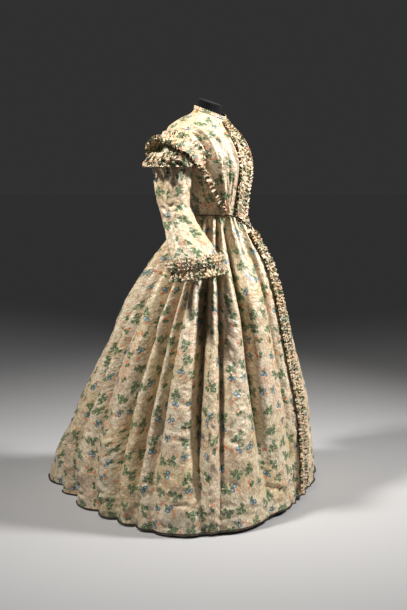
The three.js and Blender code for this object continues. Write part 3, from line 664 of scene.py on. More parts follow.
# %% [markdown]
# ## From a grid of points to a piece of cloth
# Every panel is a grid of points. Quads join them, the UV map stores how far each point lies
# along the cloth in metres, and a Solidify modifier gives the silk its thickness on the inside.
# Measuring the same grid gives the size that the panel was cut to.

# %% Grid tools
SILK_WALL = 0.0011


def grid_normals(points, ring=False):
    """Unit normals of a grid of points, on the side that turns away from the grid's middle."""
    if ring:
        across = np.roll(points, -1, 1) - np.roll(points, 1, 1)
    else:
        across = np.gradient(points, axis=1)
    up = np.gradient(points, axis=0)
    normal = np.cross(across, up)
    return normal / np.maximum(np.linalg.norm(normal, axis=-1, keepdims=True), 1e-9)


def facing(normals, points, centre):
    """Normals turned to point away from a centre line, given for each row or once."""
    away = ((points - centre) * normals).sum()
    return normals if away > 0 else -normals


def cloth_uv(points, ring=False, origin=(0.0, 0.0)):
    """Distances along the cloth in metres: across from the middle column, and up the rows."""
    step = np.linalg.norm(np.diff(points, axis=1), axis=-1)
    across = np.concatenate([np.zeros((len(points), 1)), np.cumsum(step, 1)], 1)
    middle = points.shape[1] // 2
    across = across - across[:, middle:middle + 1]
    rise = np.linalg.norm(np.diff(points, axis=0), axis=-1)
    up = np.concatenate([np.zeros((1, points.shape[1])), np.cumsum(rise, 0)], 0)
    up = np.broadcast_to(np.median(up, 1, keepdims=True), up.shape)
    return np.stack([across + origin[0], up + origin[1]], -1)


def cut_of(points, ring=False, fullness=1.0):
    """The width, length and area of the flat cut that a grid shows."""
    closed = np.concatenate([points, points[:, :1]], 1) if ring else points
    width = np.linalg.norm(np.diff(closed, axis=1), axis=-1).sum(1).max()
    length = np.linalg.norm(np.diff(closed, axis=0), axis=-1).sum(0).max()
    side = closed[1:, :-1] - closed[:-1, :-1]
    span = closed[:-1, 1:] - closed[:-1, :-1]
    area = np.linalg.norm(np.cross(side, span), axis=-1).sum()
    return (float(width * fullness), float(length)), float(area * fullness)


def thicken(piece, wall):
    """Gives a piece its thickness, on the inside."""
    thick = piece.modifiers.new("wall", "SOLIDIFY")
    thick.thickness = wall
    thick.offset = -1


def cloth_mesh(name, points, uv, material, ring=False, outward=None, wall=SILK_WALL):
    """A mesh object of a grid of points in metres, with its faces turned outward."""
    rows, columns = points.shape[:2]
    if ring:
        step = np.linalg.norm(points[:, 0] - points[:, -1], axis=-1)
        last = uv[:, -1:] + np.stack([step, 0 * step], -1)[:, None]
        uv = np.concatenate([uv, last], 1)
    spans = columns if ring else columns - 1
    r, c = np.meshgrid(np.arange(rows - 1), np.arange(spans), indexing="ij")
    nxt = (c + 1) % columns
    quads = np.stack([r * columns + c, r * columns + nxt,
                      (r + 1) * columns + nxt, (r + 1) * columns + c], -1).reshape(-1, 4)
    wide = columns + 1 if ring else columns
    corners = np.stack([r * wide + c, r * wide + c + 1,
                        (r + 1) * wide + c + 1, (r + 1) * wide + c], -1).reshape(-1, 4)
    normals = grid_normals(points, ring)
    if outward is not None and ((points - outward) * normals).sum() < 0:
        quads, corners = quads[:, ::-1], corners[:, ::-1]
    mesh = bpy.data.meshes.new(name)
    mesh.from_pydata(points.reshape(-1, 3).tolist(), [], quads.tolist())
    layer = mesh.uv_layers.new(name=CLOTH_UV)
    layer.data.foreach_set("uv", uv.reshape(-1, 2)[corners.ravel()].astype(np.float32).ravel())
    mesh.polygons.foreach_set("use_smooth", [True] * len(mesh.polygons))
    mesh.materials.append(material)
    piece = bpy.data.objects.new(name, mesh)
    bpy.context.scene.collection.objects.link(piece)
    if wall:
        thicken(piece, wall)
    return piece


def finish_cloth(piece, nodes, cut):
    """Attaches a cloth piece to its body and hides its solids. The cut is not used."""
    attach(piece, "root")
    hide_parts(*([nodes] if isinstance(nodes, str) else nodes))


SIDES = (("right", -1), ("left", 1))
print("grid tools ready")

# %% [markdown]
# ## Geometry Nodes for gathers
# Ruching and frills are one idea: a strip is gathered, so it buckles into small puffs at an even
# pitch. A Geometry Nodes tree moves each point of a plain strip out of its plane by a wave of
# that pitch and also along the strip, which makes the puffs lean over their own roots. The strip
# carries four attributes: how far along it a point lies, how free the point is, which way the
# strip runs and which way is out. Noise on position makes the puffs uneven, and the tree's
# inputs name the sizes.

# %% A helper that builds a Geometry Nodes tree
class Pattern(Graph):
    """The graph of a new Geometry Nodes tree."""
    def __init__(self, name, inputs):
        self.tree = bpy.data.node_groups.new(name, "GeometryNodeTree")
        face = self.tree.interface
        face.new_socket("Geometry", in_out="INPUT", socket_type="NodeSocketGeometry")
        face.new_socket("Geometry", in_out="OUTPUT", socket_type="NodeSocketGeometry")
        self.ids = {}
        for label, kind, value in inputs:
            socket = face.new_socket(label, in_out="INPUT", socket_type="NodeSocket" + kind)
            if value is not None:
                socket.default_value = value
            self.ids[label] = socket.identifier
        self.start = self.tree.nodes.new("NodeGroupInput").outputs

    def scaled(self, vector, scale):
        made = self.node("ShaderNodeVectorMath", {0: vector, "Scale": scale}, operation="SCALE")
        return made.outputs["Vector"]

    def attribute(self, name, kind="FLOAT"):
        return self.node("GeometryNodeInputNamedAttribute", {"Name": name}, data_type=kind).outputs[0]

    def noise(self, scale, offset):
        place = self.node("GeometryNodeInputPosition").outputs[0]
        moved = self.vector("ADD", place, self.node("ShaderNodeCombineXYZ", {"X": offset}).outputs[0])
        return self.node("ShaderNodeTexNoise", {"Vector": moved, "Scale": scale}).outputs[0]

    def finish(self, geometry):
        """Every tree ends by making instances real and giving them their material."""
        real = self.node("GeometryNodeRealizeInstances", {0: geometry}).outputs[0]
        dyed = self.node("GeometryNodeSetMaterial", {0: real, "Material": self.start["Material"]})
        self.put(self.tree.nodes.new("NodeGroupOutput").inputs[0], dyed.outputs[0])
        return self

    def apply(self, piece, **values):
        """Runs the tree on a piece with these inputs and keeps the mesh that it makes."""
        modifier = piece.modifiers.new(self.tree.name, "NODES")
        modifier.node_group = self.tree
        for label, value in values.items():
            modifier[self.ids[label]] = value
        graph = bpy.context.evaluated_depsgraph_get()
        made = bpy.data.meshes.new_from_object(
            piece.evaluated_get(graph), preserve_all_data_layers=True, depsgraph=graph)
        piece.modifiers.remove(modifier)
        piece.data = made
        made.polygons.foreach_set("use_smooth", [True] * len(made.polygons))
        return piece


print("pattern helper ready")


# %% The gathers tree
SLOW_PER_METRE, QUICK_PER_METRE = 38, 120
WANDER, UNEVEN, LEAST, SLIDE = 3.2, 1.5, 0.25, 0.5


def gathers_tree():
    p = Pattern("Gathers", [("Pitch", "Float", 0.009), ("Depth", "Float", 0.004),
                            ("Overhang", "Float", 0.6), ("Wobble", "Float", 1.0),
                            ("Seed", "Float", 0.0), ("Material", "Material", None)])
    inputs = p.start
    run = p.attribute("along")
    free = p.attribute("free")
    way = p.attribute("run", "FLOAT_VECTOR")
    out = p.attribute("out", "FLOAT_VECTOR")
    slow = p.minus(p.noise(SLOW_PER_METRE, inputs["Seed"]), 0.5)
    quick = p.noise(QUICK_PER_METRE, inputs["Seed"])
    turns = p.math("DIVIDE", run, inputs["Pitch"])
    turns = p.math("MULTIPLY_ADD", slow, p.times(inputs["Wobble"], WANDER), turns)
    phase = p.times(turns, 2 * math.pi)
    uneven = p.math("MULTIPLY_ADD", quick, UNEVEN, LEAST)
    depth = p.times(inputs["Depth"], free, uneven)
    wave = p.math("SINE", phase)
    lean = p.times(p.math("SINE", p.times(phase, 2.0)), inputs["Overhang"])
    rise = p.scaled(out, p.times(depth, wave))
    slide = p.scaled(way, p.times(depth, lean, -SLIDE))
    moved = p.node("GeometryNodeSetPosition", {"Geometry": inputs["Geometry"],
                                               "Offset": p.vector("ADD", rise, slide)})
    return p.finish(moved.outputs[0])


GATHERS = gathers_tree()
print("gathers tree:", len(GATHERS.tree.nodes), "nodes")


# %% Gathered strips
def point_attribute(mesh, name, kind, values):
    layer = mesh.attributes.new(name, kind, "POINT")
    layer.data.foreach_set("value" if kind == "FLOAT" else "vector",
                           np.asarray(values, np.float32).ravel())


def gathered(name, points, free, pitch, depth, centre, ring=False, overhang=0.6, wobble=1.0,
             seed=0.0, stretch=1.6, wall=0.0, material=RUCHED):
    """A gathered strip from a grid that runs along its rows, free is small where it is sewn."""
    step = np.linalg.norm(np.diff(points, axis=0), axis=-1).mean(1)
    run = np.concatenate([[0], np.cumsum(step)])
    if ring:
        around = run[-1] + np.linalg.norm(points[0] - points[-1], axis=-1).mean()
        pitch = around / round(around / pitch)
    normal = facing(grid_normals(points), points, centre)
    way = np.roll(points, -1, 0) - np.roll(points, 1, 0) if ring else np.gradient(points, axis=0)
    way = way / np.linalg.norm(way, axis=-1, keepdims=True)
    uv = cloth_uv(points)
    uv[..., 1] *= stretch
    order = (1, 0, 2) if ring else (0, 1, 2)
    piece = cloth_mesh(name, points.transpose(order), uv.transpose(order), material, ring=ring,
                       outward=centre, wall=0)
    values = {"along": run[:, None] + 0 * normal[..., 0], "free": free + 0 * normal[..., 0],
              "run": way, "out": normal}
    for key, value in values.items():
        kind = "FLOAT" if value.ndim == 2 else "FLOAT_VECTOR"
        point_attribute(piece.data, key, kind, value.transpose(order[:value.ndim]))
    GATHERS.apply(piece, Pitch=pitch, Depth=depth, Overhang=overhang, Wobble=wobble, Seed=seed,
                  Material=material)
    for key in values:
        piece.data.attributes.remove(piece.data.attributes[key])
    if wall:
        thicken(piece, wall)
    return piece


def trim(name, node, strip, free, pitch, depth, centre, fullness, over, slot="ruched_silk",
         ring=False, **gathers):
    """A gathered strip that is sewn over another piece."""
    piece = gathered(name, strip, free, pitch, depth, centre, ring, **gathers)
    cut = cut_of(strip.transpose(1, 0, 2), ring, fullness)
    finish_cloth(piece, node, cut)


print("gathered strips ready")

# %% [markdown]
# ## The skirt
# Six widths of silk are pleated into the waist and fall in deep organ folds over a crinoline.
# The form is an oval that widens to the hem and runs out behind as a train, and each valley between
# folds is a smooth trough with its own angle, width and depth at the waist, half way down and at the
# hem. Close gathers at the waist, listed creases and crumple finish it.

# %% Skirt folds
VALLEYS = table("top mid hem w_top w_mid w_hem d_top d_mid d_hem shift", [
    (31, 20, 10, 10, 22, 26, 8, 15, 8, 1.5), (62, 50, 44, 10, 24, 34, 15, 32, 8, -2.0),
    (73, 69, 70, 9, 20, 26, 12, 20, 9, 1.0), (86, 81, 75, 10, 22, 30, 16, 42, 16, -1.5),
    (99, 97, 94, 9, 18, 24, 16, 20, 12, 2.0), (110, 105, 103, 11, 20, 28, 28, 38, 24, -1.0),
    (122, 116, 114, 11, 21, 30, 30, 44, 28, 1.5), (139, 136, 127, 12, 25, 32, 32, 52, 30, -1.5),
    (153, 148, 150, 11, 24, 48, 26, 40, 58, 1.0), (168, 165, 164, 11, 26, 46, 28, 46, 58, -1.0)])
# From level FOLDS_FULL upwards the folds are deeper and narrower than in the table, and at
# the waist a share of their depth goes.
FOLD_SHARPNESS, FOLD_GAIN, FOLD_WIDTH, FOLDS_FULL = 1.4, 2.35, 0.75, 0.3
WAIST_FADE = 0.35
RIDGE_CROWN = 8.0
STEEP_FLANK, GENTLE_FLANK = 0.72, 1.2
PANELS = (("skirt_front", 0, 3.5), ("skirt_side", 3.5, 7.5), ("skirt_back", 7.5, 11))
SKIRT_ROWS = 200
COLUMNS_PER_FOLD = 20
SEAM_GAP = 0.5


def three_way(top, mid, foot, level):
    """A value that passes through top, mid and foot at levels 1, 0.5 and 0."""
    t = 2 * level - 1
    return mid + np.where(t > 0, top - mid, foot - mid) * t * t


def fold_angle(u, level):
    """The angle of fold column u, where whole numbers are the valleys."""
    steps = [np.zeros_like(level)]
    for k in range(len(VALLEYS["top"])):
        steps.append(np.radians(three_way(VALLEYS["top"][k], VALLEYS["mid"][k],
                                          VALLEYS["hem"][k], level)))
    steps.append(np.full_like(level, np.pi))
    lines = np.concatenate(steps, 1)
    i = np.clip(np.floor(u).astype(int), 0, len(steps) - 2)
    return lines[:, i] + (lines[:, i + 1] - lines[:, i]) * (u - i)


def fold_depth(angle, level, radius, side):
    """How far the cloth sinks into the valleys between the folds."""
    sunk = np.zeros_like(angle)
    fade = 1 - WAIST_FADE * level ** 12
    rise = np.clip(level / FOLDS_FULL, 0, 1) ** 1.5
    for k in range(len(VALLEYS["top"])):
        v = {key: VALLEYS[key][k] for key in VALLEYS}
        centre = three_way(v["top"], v["mid"], v["hem"], level)
        if side > 0:
            centre = centre + v["shift"] * np.sin(np.pi * np.clip(level, 0, 1))
        width = three_way(v["w_top"], v["w_mid"], v["w_hem"], level)
        width = width * (1 - (1 - FOLD_WIDTH) * rise)
        x = (unfold(angle) - np.radians(centre)) * radius / width
        x = np.where(x > 0, x / STEEP_FLANK, -x / GENTLE_FLANK)
        depth = three_way(v["d_top"], v["d_mid"], v["d_hem"], level)
        depth = depth * (1 + (FOLD_GAIN - 1) * rise)
        sunk += depth * fade * np.exp(-x ** FOLD_SHARPNESS)
    return sunk


def ridge_crown(u, level):
    """How far the cloth swells out between two valleys, most in the middle."""
    last = len(VALLEYS["top"]) + 1
    half = np.where(u < 1, (1 + u) / 2, np.where(u > last - 1, (u - last + 1) / 2, u % 1))
    return RIDGE_CROWN * np.sin(np.pi * half) ** 0.8 * (1 - 0.6 * level)


print("skirt valleys on each half:", len(VALLEYS["top"]))

# %% Skirt creases
# Columns: angle and height where a crease starts, angle and height where it ends, then its
# width, depth and bow. A negative depth is a ridge.
NEAR_CREASES = [
    (76, 320, 74, 165, 3.5, 2.6, 0), (60, 330, 50, 240, 9, -6, 4), (53, 400, 46, 150, 10, -8, 5),
    (48, 138, 29, 90, 7, -7, 3), (47, 122, 30, 78, 8, 6, 3), (82, 260, 83, 150, 9, -7, 4),
    (79, 262, 82, 170, 8, -5, -4), (68, 178, 58, 112, 9, 6, 5), (74, 265, 68, 175, 10, -8, -6),
    (108, 30, 97, 160, 10, -8, 8), (106, 92, 100, 205, 9, -6, -5), (104, 60, 96, 130, 9, 6, 4),
    (91, 42, 85, 128, 9, -6, 5), (77, 116, 71, 72, 8, -6, 3), (62, 92, 49, 80, 9, -6, 3),
    (87, 205, 82, 268, 8, -5, 3), (98, 222, 92, 298, 9, 5, -5), (108, 238, 101, 322, 9, -6, 6),
    (73, 650, 58, 565, 9, -6, 5), (70, 570, 60, 522, 8, 6, 3), (71, 610, 63, 552, 7, -5, 3),
    (58, 740, 48, 580, 9, -6, -5), (69, 302, 61, 208, 9, -6, 5), (130, 208, 120, 268, 9, -6, 4),
    (152, 122, 144, 208, 10, -7, 6), (131, 12, 118, 78, 10, -8, 6), (94, 88, 88, 152, 8, -6, -4),
    (83, 98, 78, 152, 8, 5, 3), (89, 800, 82, 585, 7, 16, 2), (82, 590, 77, 330, 8, 14, -3),
    (53, 870, 53, 720, 7, 13, 1), (53, 745, 54, 430, 8, 13, 2), (141, 600, 131, 380, 9, 11, 2),
    (113, 640, 105, 400, 9, 11, -2), (117, 740, 107, 560, 6, -6, 2), (83, 870, 64, 420, 7, -5, 4),
    (36, 120, 24, 60, 9, -6, 4), (22, 300, 12, 180, 9, -5, 4), (40, 260, 30, 160, 9, -6, -5),
    (120, 120, 110, 40, 10, 7, 4), (140, 90, 128, 150, 10, -7, 5), (160, 260, 154, 130, 10, -6, 5),
    (66, 60, 52, 40, 8, 5, 3), (100, 330, 95, 420, 8, -4, 4), (126, 330, 118, 250, 9, 5, -5)]
FAR_CREASES = [
    (60, 120, 48, 200, 10, -7, 5), (72, 90, 66, 190, 9, -6, -5), (84, 240, 78, 330, 9, -6, 4),
    (98, 60, 90, 150, 10, -8, 6), (104, 180, 96, 270, 9, 6, -5), (118, 110, 108, 190, 10, -7, 5),
    (130, 60, 120, 130, 10, -8, -6), (146, 150, 136, 240, 10, -7, 6), (160, 80, 150, 190, 10, 7, 5),
    (52, 320, 44, 240, 9, -6, 4), (30, 140, 20, 80, 9, -6, 4), (40, 420, 33, 300, 9, -5, 4),
    (66, 560, 57, 480, 8, -5, 3), (90, 780, 84, 560, 7, 14, 2), (55, 860, 55, 500, 8, 13, 2),
    (112, 640, 105, 410, 9, 11, 2), (139, 600, 131, 400, 9, 11, -2), (78, 470, 73, 340, 8, -5, 4),
    (168, 200, 160, 110, 10, -6, 4), (125, 300, 118, 380, 9, -5, -4), (48, 100, 34, 70, 9, 6, 3),
    (86, 150, 80, 80, 8, -6, 3), (152, 330, 146, 230, 9, 5, 4), (20, 320, 14, 220, 8, -4, 3)]


def flat_x(angle, z):
    """Distance round the skirt from the centre front, on the flattened skirt."""
    return np.radians(angle) * read(SKIRT, "a", np.asarray(z, float))


print("creases drawn by hand:", len(NEAR_CREASES) + len(FAR_CREASES))

# %% Skirt points
# Pitches are in degrees, and sizes and depths in millimetres.
GATHER_PITCH, GATHER_DEPTH, GATHER_REACH = 4.25, 2.2, 0.07
PLEAT_PITCH, PLEAT_DEPTH, PLEAT_REACH = 11.0, 8.0, 0.15
CRUMPLE_SIZE, CRUMPLE_DEPTH = 38, 15.0
GRAIN_SIZE, GRAIN_DEPTH = 19, 2.2
DENT_SIZE, DENT_DEPTH = 120, 9.0
DRIFT_SIZE, DRIFT_GAIN, DRIFT_LEAST = 190, 0.9, 0.45
FORM_CLEAR, FORM_FOOT = 2.5, 770
HEM_QUIET, CRUMPLE_FADES = 25, 420


def skirt_points(side, u, level, detailed):
    """Skirt points in metres. Plain points have the folds only, and detailed ones everything."""
    angle = fold_angle(u, level)
    foot = hem_z(angle)
    z = foot + (waist_z(angle) - SEAM_GAP - foot) * level
    base = skirt_radius(angle, z)
    sunk = fold_depth(angle, level, base, side)
    if detailed:
        degrees = np.degrees(unfold(angle))
        x = flat_x(degrees, z)
        rows = laid_flat(NEAR_CREASES if side < 0 else FAR_CREASES,
                         lambda turn, up: (flat_x(turn, up), up))
        hem_hold = np.clip(z / HEM_QUIET, 0.15, 1)
        sunk += creases(x, z, rows) * hem_hold
        near_hem = np.clip(1.5 - z / CRUMPLE_FADES, 0.25, 1.5)
        drift = smooth_noise(x + 900, z, DRIFT_SIZE, 5) * DRIFT_GAIN + DRIFT_LEAST
        seed = 11 if side < 0 else 47
        sunk += CRUMPLE_DEPTH * near_hem * drift * crumple(x, z, CRUMPLE_SIZE, seed) * hem_hold
        sunk += GRAIN_DEPTH * crumple(x, z * 0.45, GRAIN_SIZE, seed + 90) * hem_hold
        dents = smooth_noise(x, z * 0.5, DENT_SIZE, seed + 55) - 0.5
        sunk += DENT_DEPTH * dents * hem_hold * np.clip(1.2 - level, 0, 1)
        near_waist = np.exp(-(1 - level) / GATHER_REACH)
        swing = smooth_noise(x, z, 30, 3) * 2.2
        sunk += GATHER_DEPTH * near_waist * np.sin(2 * np.pi * degrees / GATHER_PITCH + swing)
        swing = smooth_noise(x, z * 0.2, 60, 8) * 5
        pleat = 0.5 + 0.5 * np.sin(2 * np.pi * degrees / PLEAT_PITCH + swing)
        sunk += PLEAT_DEPTH * np.exp(-(1 - level) / PLEAT_REACH) * (pleat ** 1.6 - 0.3)
    r = base - sunk + ridge_crown(u, level)
    r = np.where(z > FORM_FOOT, np.maximum(r, oval_at(HIPS, angle, z) + FORM_CLEAR), r)
    return placed(angle, r, 0, z, side) * MM


def skirt_panel(name, side, start, stop):
    columns = int((stop - start) * COLUMNS_PER_FOLD)
    u = np.linspace(start, stop, columns + 1)
    level = np.linspace(0, 1, SKIRT_ROWS)[:, None]
    plain = skirt_points(side, u, level, False)
    points = skirt_points(side, u, level, True)
    for edge, inward in ((0, 1), (-1, -2)):
        if 0 < u[edge] < 11:
            step = points[:, inward] - points[:, edge]
            step = step / np.linalg.norm(step, axis=-1, keepdims=True)
            points[:, edge] += step * 0.1 * MM
            points[:, edge, :2] *= 0.9994
    centre = np.stack([0 * level[:, 0], 0 * level[:, 0], plain[:, 0, 2]], -1)[:, None]
    uv = cloth_uv(plain, origin=(0.37 * side * (start + 1), 0.0))
    piece = cloth_mesh(name, points, uv, SILK, outward=centre)
    return piece, cut_of(plain)


for label, side in SIDES:
    for panel, start, stop in PANELS:
        piece, cut = skirt_panel(f"cloth_{panel}_{label}", side, start, stop)
        finish_cloth(piece, f"{panel}_{label}", cut)

# %% [markdown]
# ## The hem braid
# A dark worsted braid guards the hem. Two layers make it: a flat tape that follows the hem, and
# small plaits along it. The plaits are one small mesh that Geometry Nodes places along the hem
# line at an even pitch, turned to follow it.

# %% The plaits tree
def beads_tree():
    """Puts one small mesh along a line of points at an even spacing."""
    p = Pattern("Beads along a line", [("Spacing", "Float", 0.006), ("Bead", "Object", None),
                                       ("Material", "Material", None)])
    line = p.node("GeometryNodeMeshToCurve", {0: p.start["Geometry"]}).outputs[0]
    spots = p.node("GeometryNodeCurveToPoints", {"Curve": line, "Length": p.start["Spacing"]},
                   mode="LENGTH")
    bead = p.node("GeometryNodeObjectInfo", {"Object": p.start["Bead"]}).outputs["Geometry"]
    copies = p.node("GeometryNodeInstanceOnPoints",
                    {"Points": spots.outputs[0], "Instance": bead,
                     "Rotation": spots.outputs["Rotation"]})
    return p.finish(copies.outputs[0])


BEADS = beads_tree()


def bead(name, length, width, height):
    """A small rounded bead of thread, a few faces only, with its length along X."""
    steps, sides = 4, 6
    rings = []
    for i in range(steps + 1):
        t = i / steps * 2 - 1
        swell = math.sqrt(max(0.05, 1 - t * t * 0.95))
        turns = [2 * math.pi * k / sides for k in range(sides)]
        rings.append([(t * length / 2, math.cos(a) * width / 2 * swell,
                       math.sin(a) * height / 2 * swell) for a in turns])
    verts = [v for ring in rings for v in ring]
    faces = [(i * sides + k, i * sides + (k + 1) % sides,
              (i + 1) * sides + (k + 1) % sides, (i + 1) * sides + k)
             for i in range(steps) for k in range(sides)]
    faces += [tuple(range(sides))[::-1], tuple(steps * sides + k for k in range(sides))]
    mesh = bpy.data.meshes.new(name)
    mesh.from_pydata(verts, [], [f[::-1] for f in faces])
    return bpy.data.objects.new(name, mesh)


def beaded(name, line, one_bead, spacing, material, closed=False):
    """A piece of beads along a line of points in metres."""
    count = len(line)
    edges = [(k, k + 1) for k in range(count - 1)] + ([(count - 1, 0)] if closed else [])
    mesh = bpy.data.meshes.new(name)
    mesh.from_pydata(np.asarray(line).tolist(), edges, [])
    piece = bpy.data.objects.new(name, mesh)
    bpy.context.scene.collection.objects.link(piece)
    BEADS.apply(piece, Spacing=spacing, Bead=one_bead, Material=material)
    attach(piece, "root")
    return piece


print("beads tree:", len(BEADS.tree.nodes), "nodes")

# %% Hem braid
BRAID_FOOT, BRAID_TOP, BRAID_PROUD, PLAIT_HEIGHT, PLAIT_PROUD = 1.0, 6.5, 1.4, 3.4, 0.4
PLAIT_SPACING, TAPE_WALL, LEAST_TAPE = 0.0052, 0.0012, 0.0102
PLAIT = bead("plait", 0.0085, 0.0032, 0.0028)


def hem_line(side, height, proud):
    """Points along half the hem, at a height in millimetres above the hem's edge."""
    u = np.linspace(0, 11, 11 * COLUMNS_PER_FOLD + 1)
    levels = np.array([[0.0], [0.02]])
    low, high = skirt_points(side, u, levels, True)
    rise = (high[:, 2] - low[:, 2])[:, None]
    line = low + (high - low) * height * MM / rise
    way = np.gradient(line, axis=0)
    out = np.stack([way[:, 1], -way[:, 0], 0 * way[:, 0]], -1)
    out /= np.linalg.norm(out, axis=-1, keepdims=True)
    out *= np.sign((out * line).sum(-1).mean())
    return line + out * proud * MM


for label, side in SIDES:
    heights = np.linspace(BRAID_FOOT, BRAID_TOP, 5)
    swell = BRAID_PROUD * np.array([0.45, 0.95, 1.0, 0.95, 0.45])
    strip = np.stack([hem_line(side, h, s) for h, s in zip(heights, swell)])
    tape = cloth_mesh(f"hem_tape_{label}", strip, cloth_uv(strip), BRAID,
                      outward=np.array([0, 0, 0.0]), wall=TAPE_WALL)
    plaits = beaded(f"hem_plaits_{label}", hem_line(side, PLAIT_HEIGHT, BRAID_PROUD + PLAIT_PROUD),
                    PLAIT, PLAIT_SPACING, BRAID)
    (tape_width, tape_length), tape_area = cut_of(strip)
    tape_cut = (tape_width, max(tape_length, LEAST_TAPE)), tape_area
    finish_cloth(tape, f"hem_braid_{label}", tape_cut)

# %% [markdown]
# ## The bodice
# The bodice is cut close over the form: two fronts that close at the centre and one back, with
# the armholes left open between them. Each row of the draft is a height, or a share of the rise
# above the waist seam, or a drop below the neck, with the angle where the armhole cuts it.

# %% Bodice panels
LOWER_TOP = 1065
FRONT_ROWS = [("rise", 0, 90), ("rise", 0.35, 90), ("rise", 0.68, 90), ("rise", 1, 90),
              ("at", 1110, 90), ("at", 1160, 90), ("at", 1205, 90), ("at", 1225, 72),
              ("at", 1255, 61), ("at", 1280, 60), ("fall", 62, 68), ("fall", 38, 84),
              ("fall", 17, 90), ("fall", 0, 90)]
BACK_ROWS = [("rise", 0, 90), ("rise", 0.5, 90), ("rise", 1, 90), ("at", 1110, 90),
             ("at", 1160, 90), ("at", 1205, 90), ("at", 1225, 106), ("at", 1255, 115),
             ("at", 1280, 117), ("fall", 66, 108), ("fall", 42, 95), ("fall", 17, 90),
             ("fall", 0, 90)]
BODICE_STEP_ROWS, FRONT_COLUMNS, BACK_COLUMNS = 120, 48, 96
BACK_SEAM = 0.36


def row_height(kind, value, angle):
    foot = waist_z(angle) + SEAM_GAP
    if kind == "rise":
        return foot + (LOWER_TOP - foot) * value
    if kind == "fall":
        return neck_z(angle) - SEAM_GAP - value
    return value + 0 * angle


def bodice_grid(rows, columns, span):
    """Angles and heights of a bodice panel. span gives its two edges for an armhole angle."""
    t = np.linspace(0, len(rows) - 1, BODICE_STEP_ROWS)
    armhole = np.interp(t, range(len(rows)), [row[2] for row in rows])
    first, last = span(armhole)
    share = np.linspace(0, 1, columns + 1)
    angle = np.radians(first[:, None] + (last - first)[:, None] * share)
    heights = np.stack([row_height(kind, value, angle) for kind, value, _ in rows])
    i = np.clip(np.floor(t).astype(int), 0, len(rows) - 2)
    f = (t - i)[:, None]
    pick = np.arange(len(t))
    return angle, heights[i, pick] * (1 - f) + heights[i + 1, pick] * f


BODICE_CREASES = [(60, 1050, 130, 1110, 6, 2.0, 4), (90, 1120, 160, 1180, 6, 2.0, 5),
                  (120, 1040, 190, 1075, 5, 1.8, 3), (40, 1150, 90, 1230, 6, -1.6, 4),
                  (150, 1120, 220, 1200, 6, 1.8, -5), (30, 1020, 70, 1090, 5, 1.5, 3)]


BODICE_CRUMPLE, SEAM_SUNK, SEAM_SPREAD = 1.3, 1.6, 2.2
ROUND_BODICE, ROUND_BACK = 150, 130
PANEL_GAP = 0.2


def bodice_panel(name, rows, columns, span, seams=()):
    angle, z = bodice_grid(rows, columns, span)
    plain = torso(angle, z) * MM
    x = unfold(angle) * ROUND_BODICE
    sunk = creases(x, z, BODICE_CREASES) + BODICE_CRUMPLE * crumple(x, z, 30, 61)
    for seam in seams:
        sunk += SEAM_SUNK * np.exp(-((unfold(angle) - seam(z)) * ROUND_BACK / SEAM_SPREAD) ** 2)
    points = torso(angle, z, -sunk) * MM
    centre = np.stack([0 * z[:, 0], 0 * z[:, 0] + 10, z[:, 0]], -1)[:, None] * MM
    piece = cloth_mesh(f"cloth_{name}", points, cloth_uv(plain), SILK, outward=centre)
    finish_cloth(piece, name, cut_of(plain))
    return piece


BACK_SEAM_FOOT, BACK_SEAM_RISE, BACK_SEAM_START, BACK_SEAM_TURN = 1000, 230, 0.16, 0.75


def side_back_seam(z):
    """The curved seam of the back, from near the waist's middle out to the armhole."""
    rise = np.clip((z - BACK_SEAM_FOOT) / BACK_SEAM_RISE, 0, 1)
    return np.pi - BACK_SEAM_START - (BACK_SEAM_TURN + BACK_SEAM * rise) * rise ** 1.6


for label, side in SIDES:
    bodice_panel(f"bodice_front_{label}", FRONT_ROWS, FRONT_COLUMNS,
                 lambda armhole: (0 * armhole + side * PANEL_GAP, side * (armhole - PANEL_GAP)))
bodice_panel("bodice_back", BACK_ROWS, BACK_COLUMNS,
             lambda armhole: (armhole + PANEL_GAP, 360 - PANEL_GAP - armhole),
             seams=[side_back_seam])

# %% [markdown]
# ## Neckband and waist piping
# The neck is finished with a narrow gathered band, and a dark corded piping covers the waist
# seam. The cord is beads of twisted thread that Geometry Nodes lays along the seam line.

# %% Neckband
NECK_STEPS, NECK_HEIGHT = 300, 12
NECK_PITCH, NECK_GATHER_DEPTH, NECK_WALL = 0.0075, 0.0013, 0.0009
# Each row is a share of the height, a lift over the body and a freedom.
NECK_ROWS = ((0, 0.6, 0.1), (0.2, 1.6, 0.8), (0.45, 1.2, 0.5), (0.7, 1.8, 0.9), (1, 2.4, 1.2))
turn = np.linspace(0, 2 * np.pi, NECK_STEPS, endpoint=False)
neck_points = MM * np.stack([torso(turn, neck_z(turn) + SEAM_GAP + NECK_HEIGHT * share, lift)
                             for share, lift, free in NECK_ROWS], 1)
neckband = gathered("cloth_neckband", neck_points, np.array([row[2] for row in NECK_ROWS]),
                    NECK_PITCH, NECK_GATHER_DEPTH, np.array([0, 0.031, 1.39]), ring=True,
                    stretch=1.0, wall=NECK_WALL)
finish_cloth(neckband, "neckband", cut_of(neck_points.transpose(1, 0, 2), True))

# %% Waist piping
PIPING_RADIUS, PIPING_LIFT, CORE_SHARE = 1.9, 4.8, 0.8
TWIST_LIFT, TWIST_SPACING = 1.2, 0.0034
TWIST = bead("twist", 0.0060, 0.0023, 0.0023)


def piping_ring(lift, drop):
    angle = np.linspace(0, 2 * np.pi, 240, endpoint=False)
    return torso(angle, waist_z(angle) - drop, lift) * MM


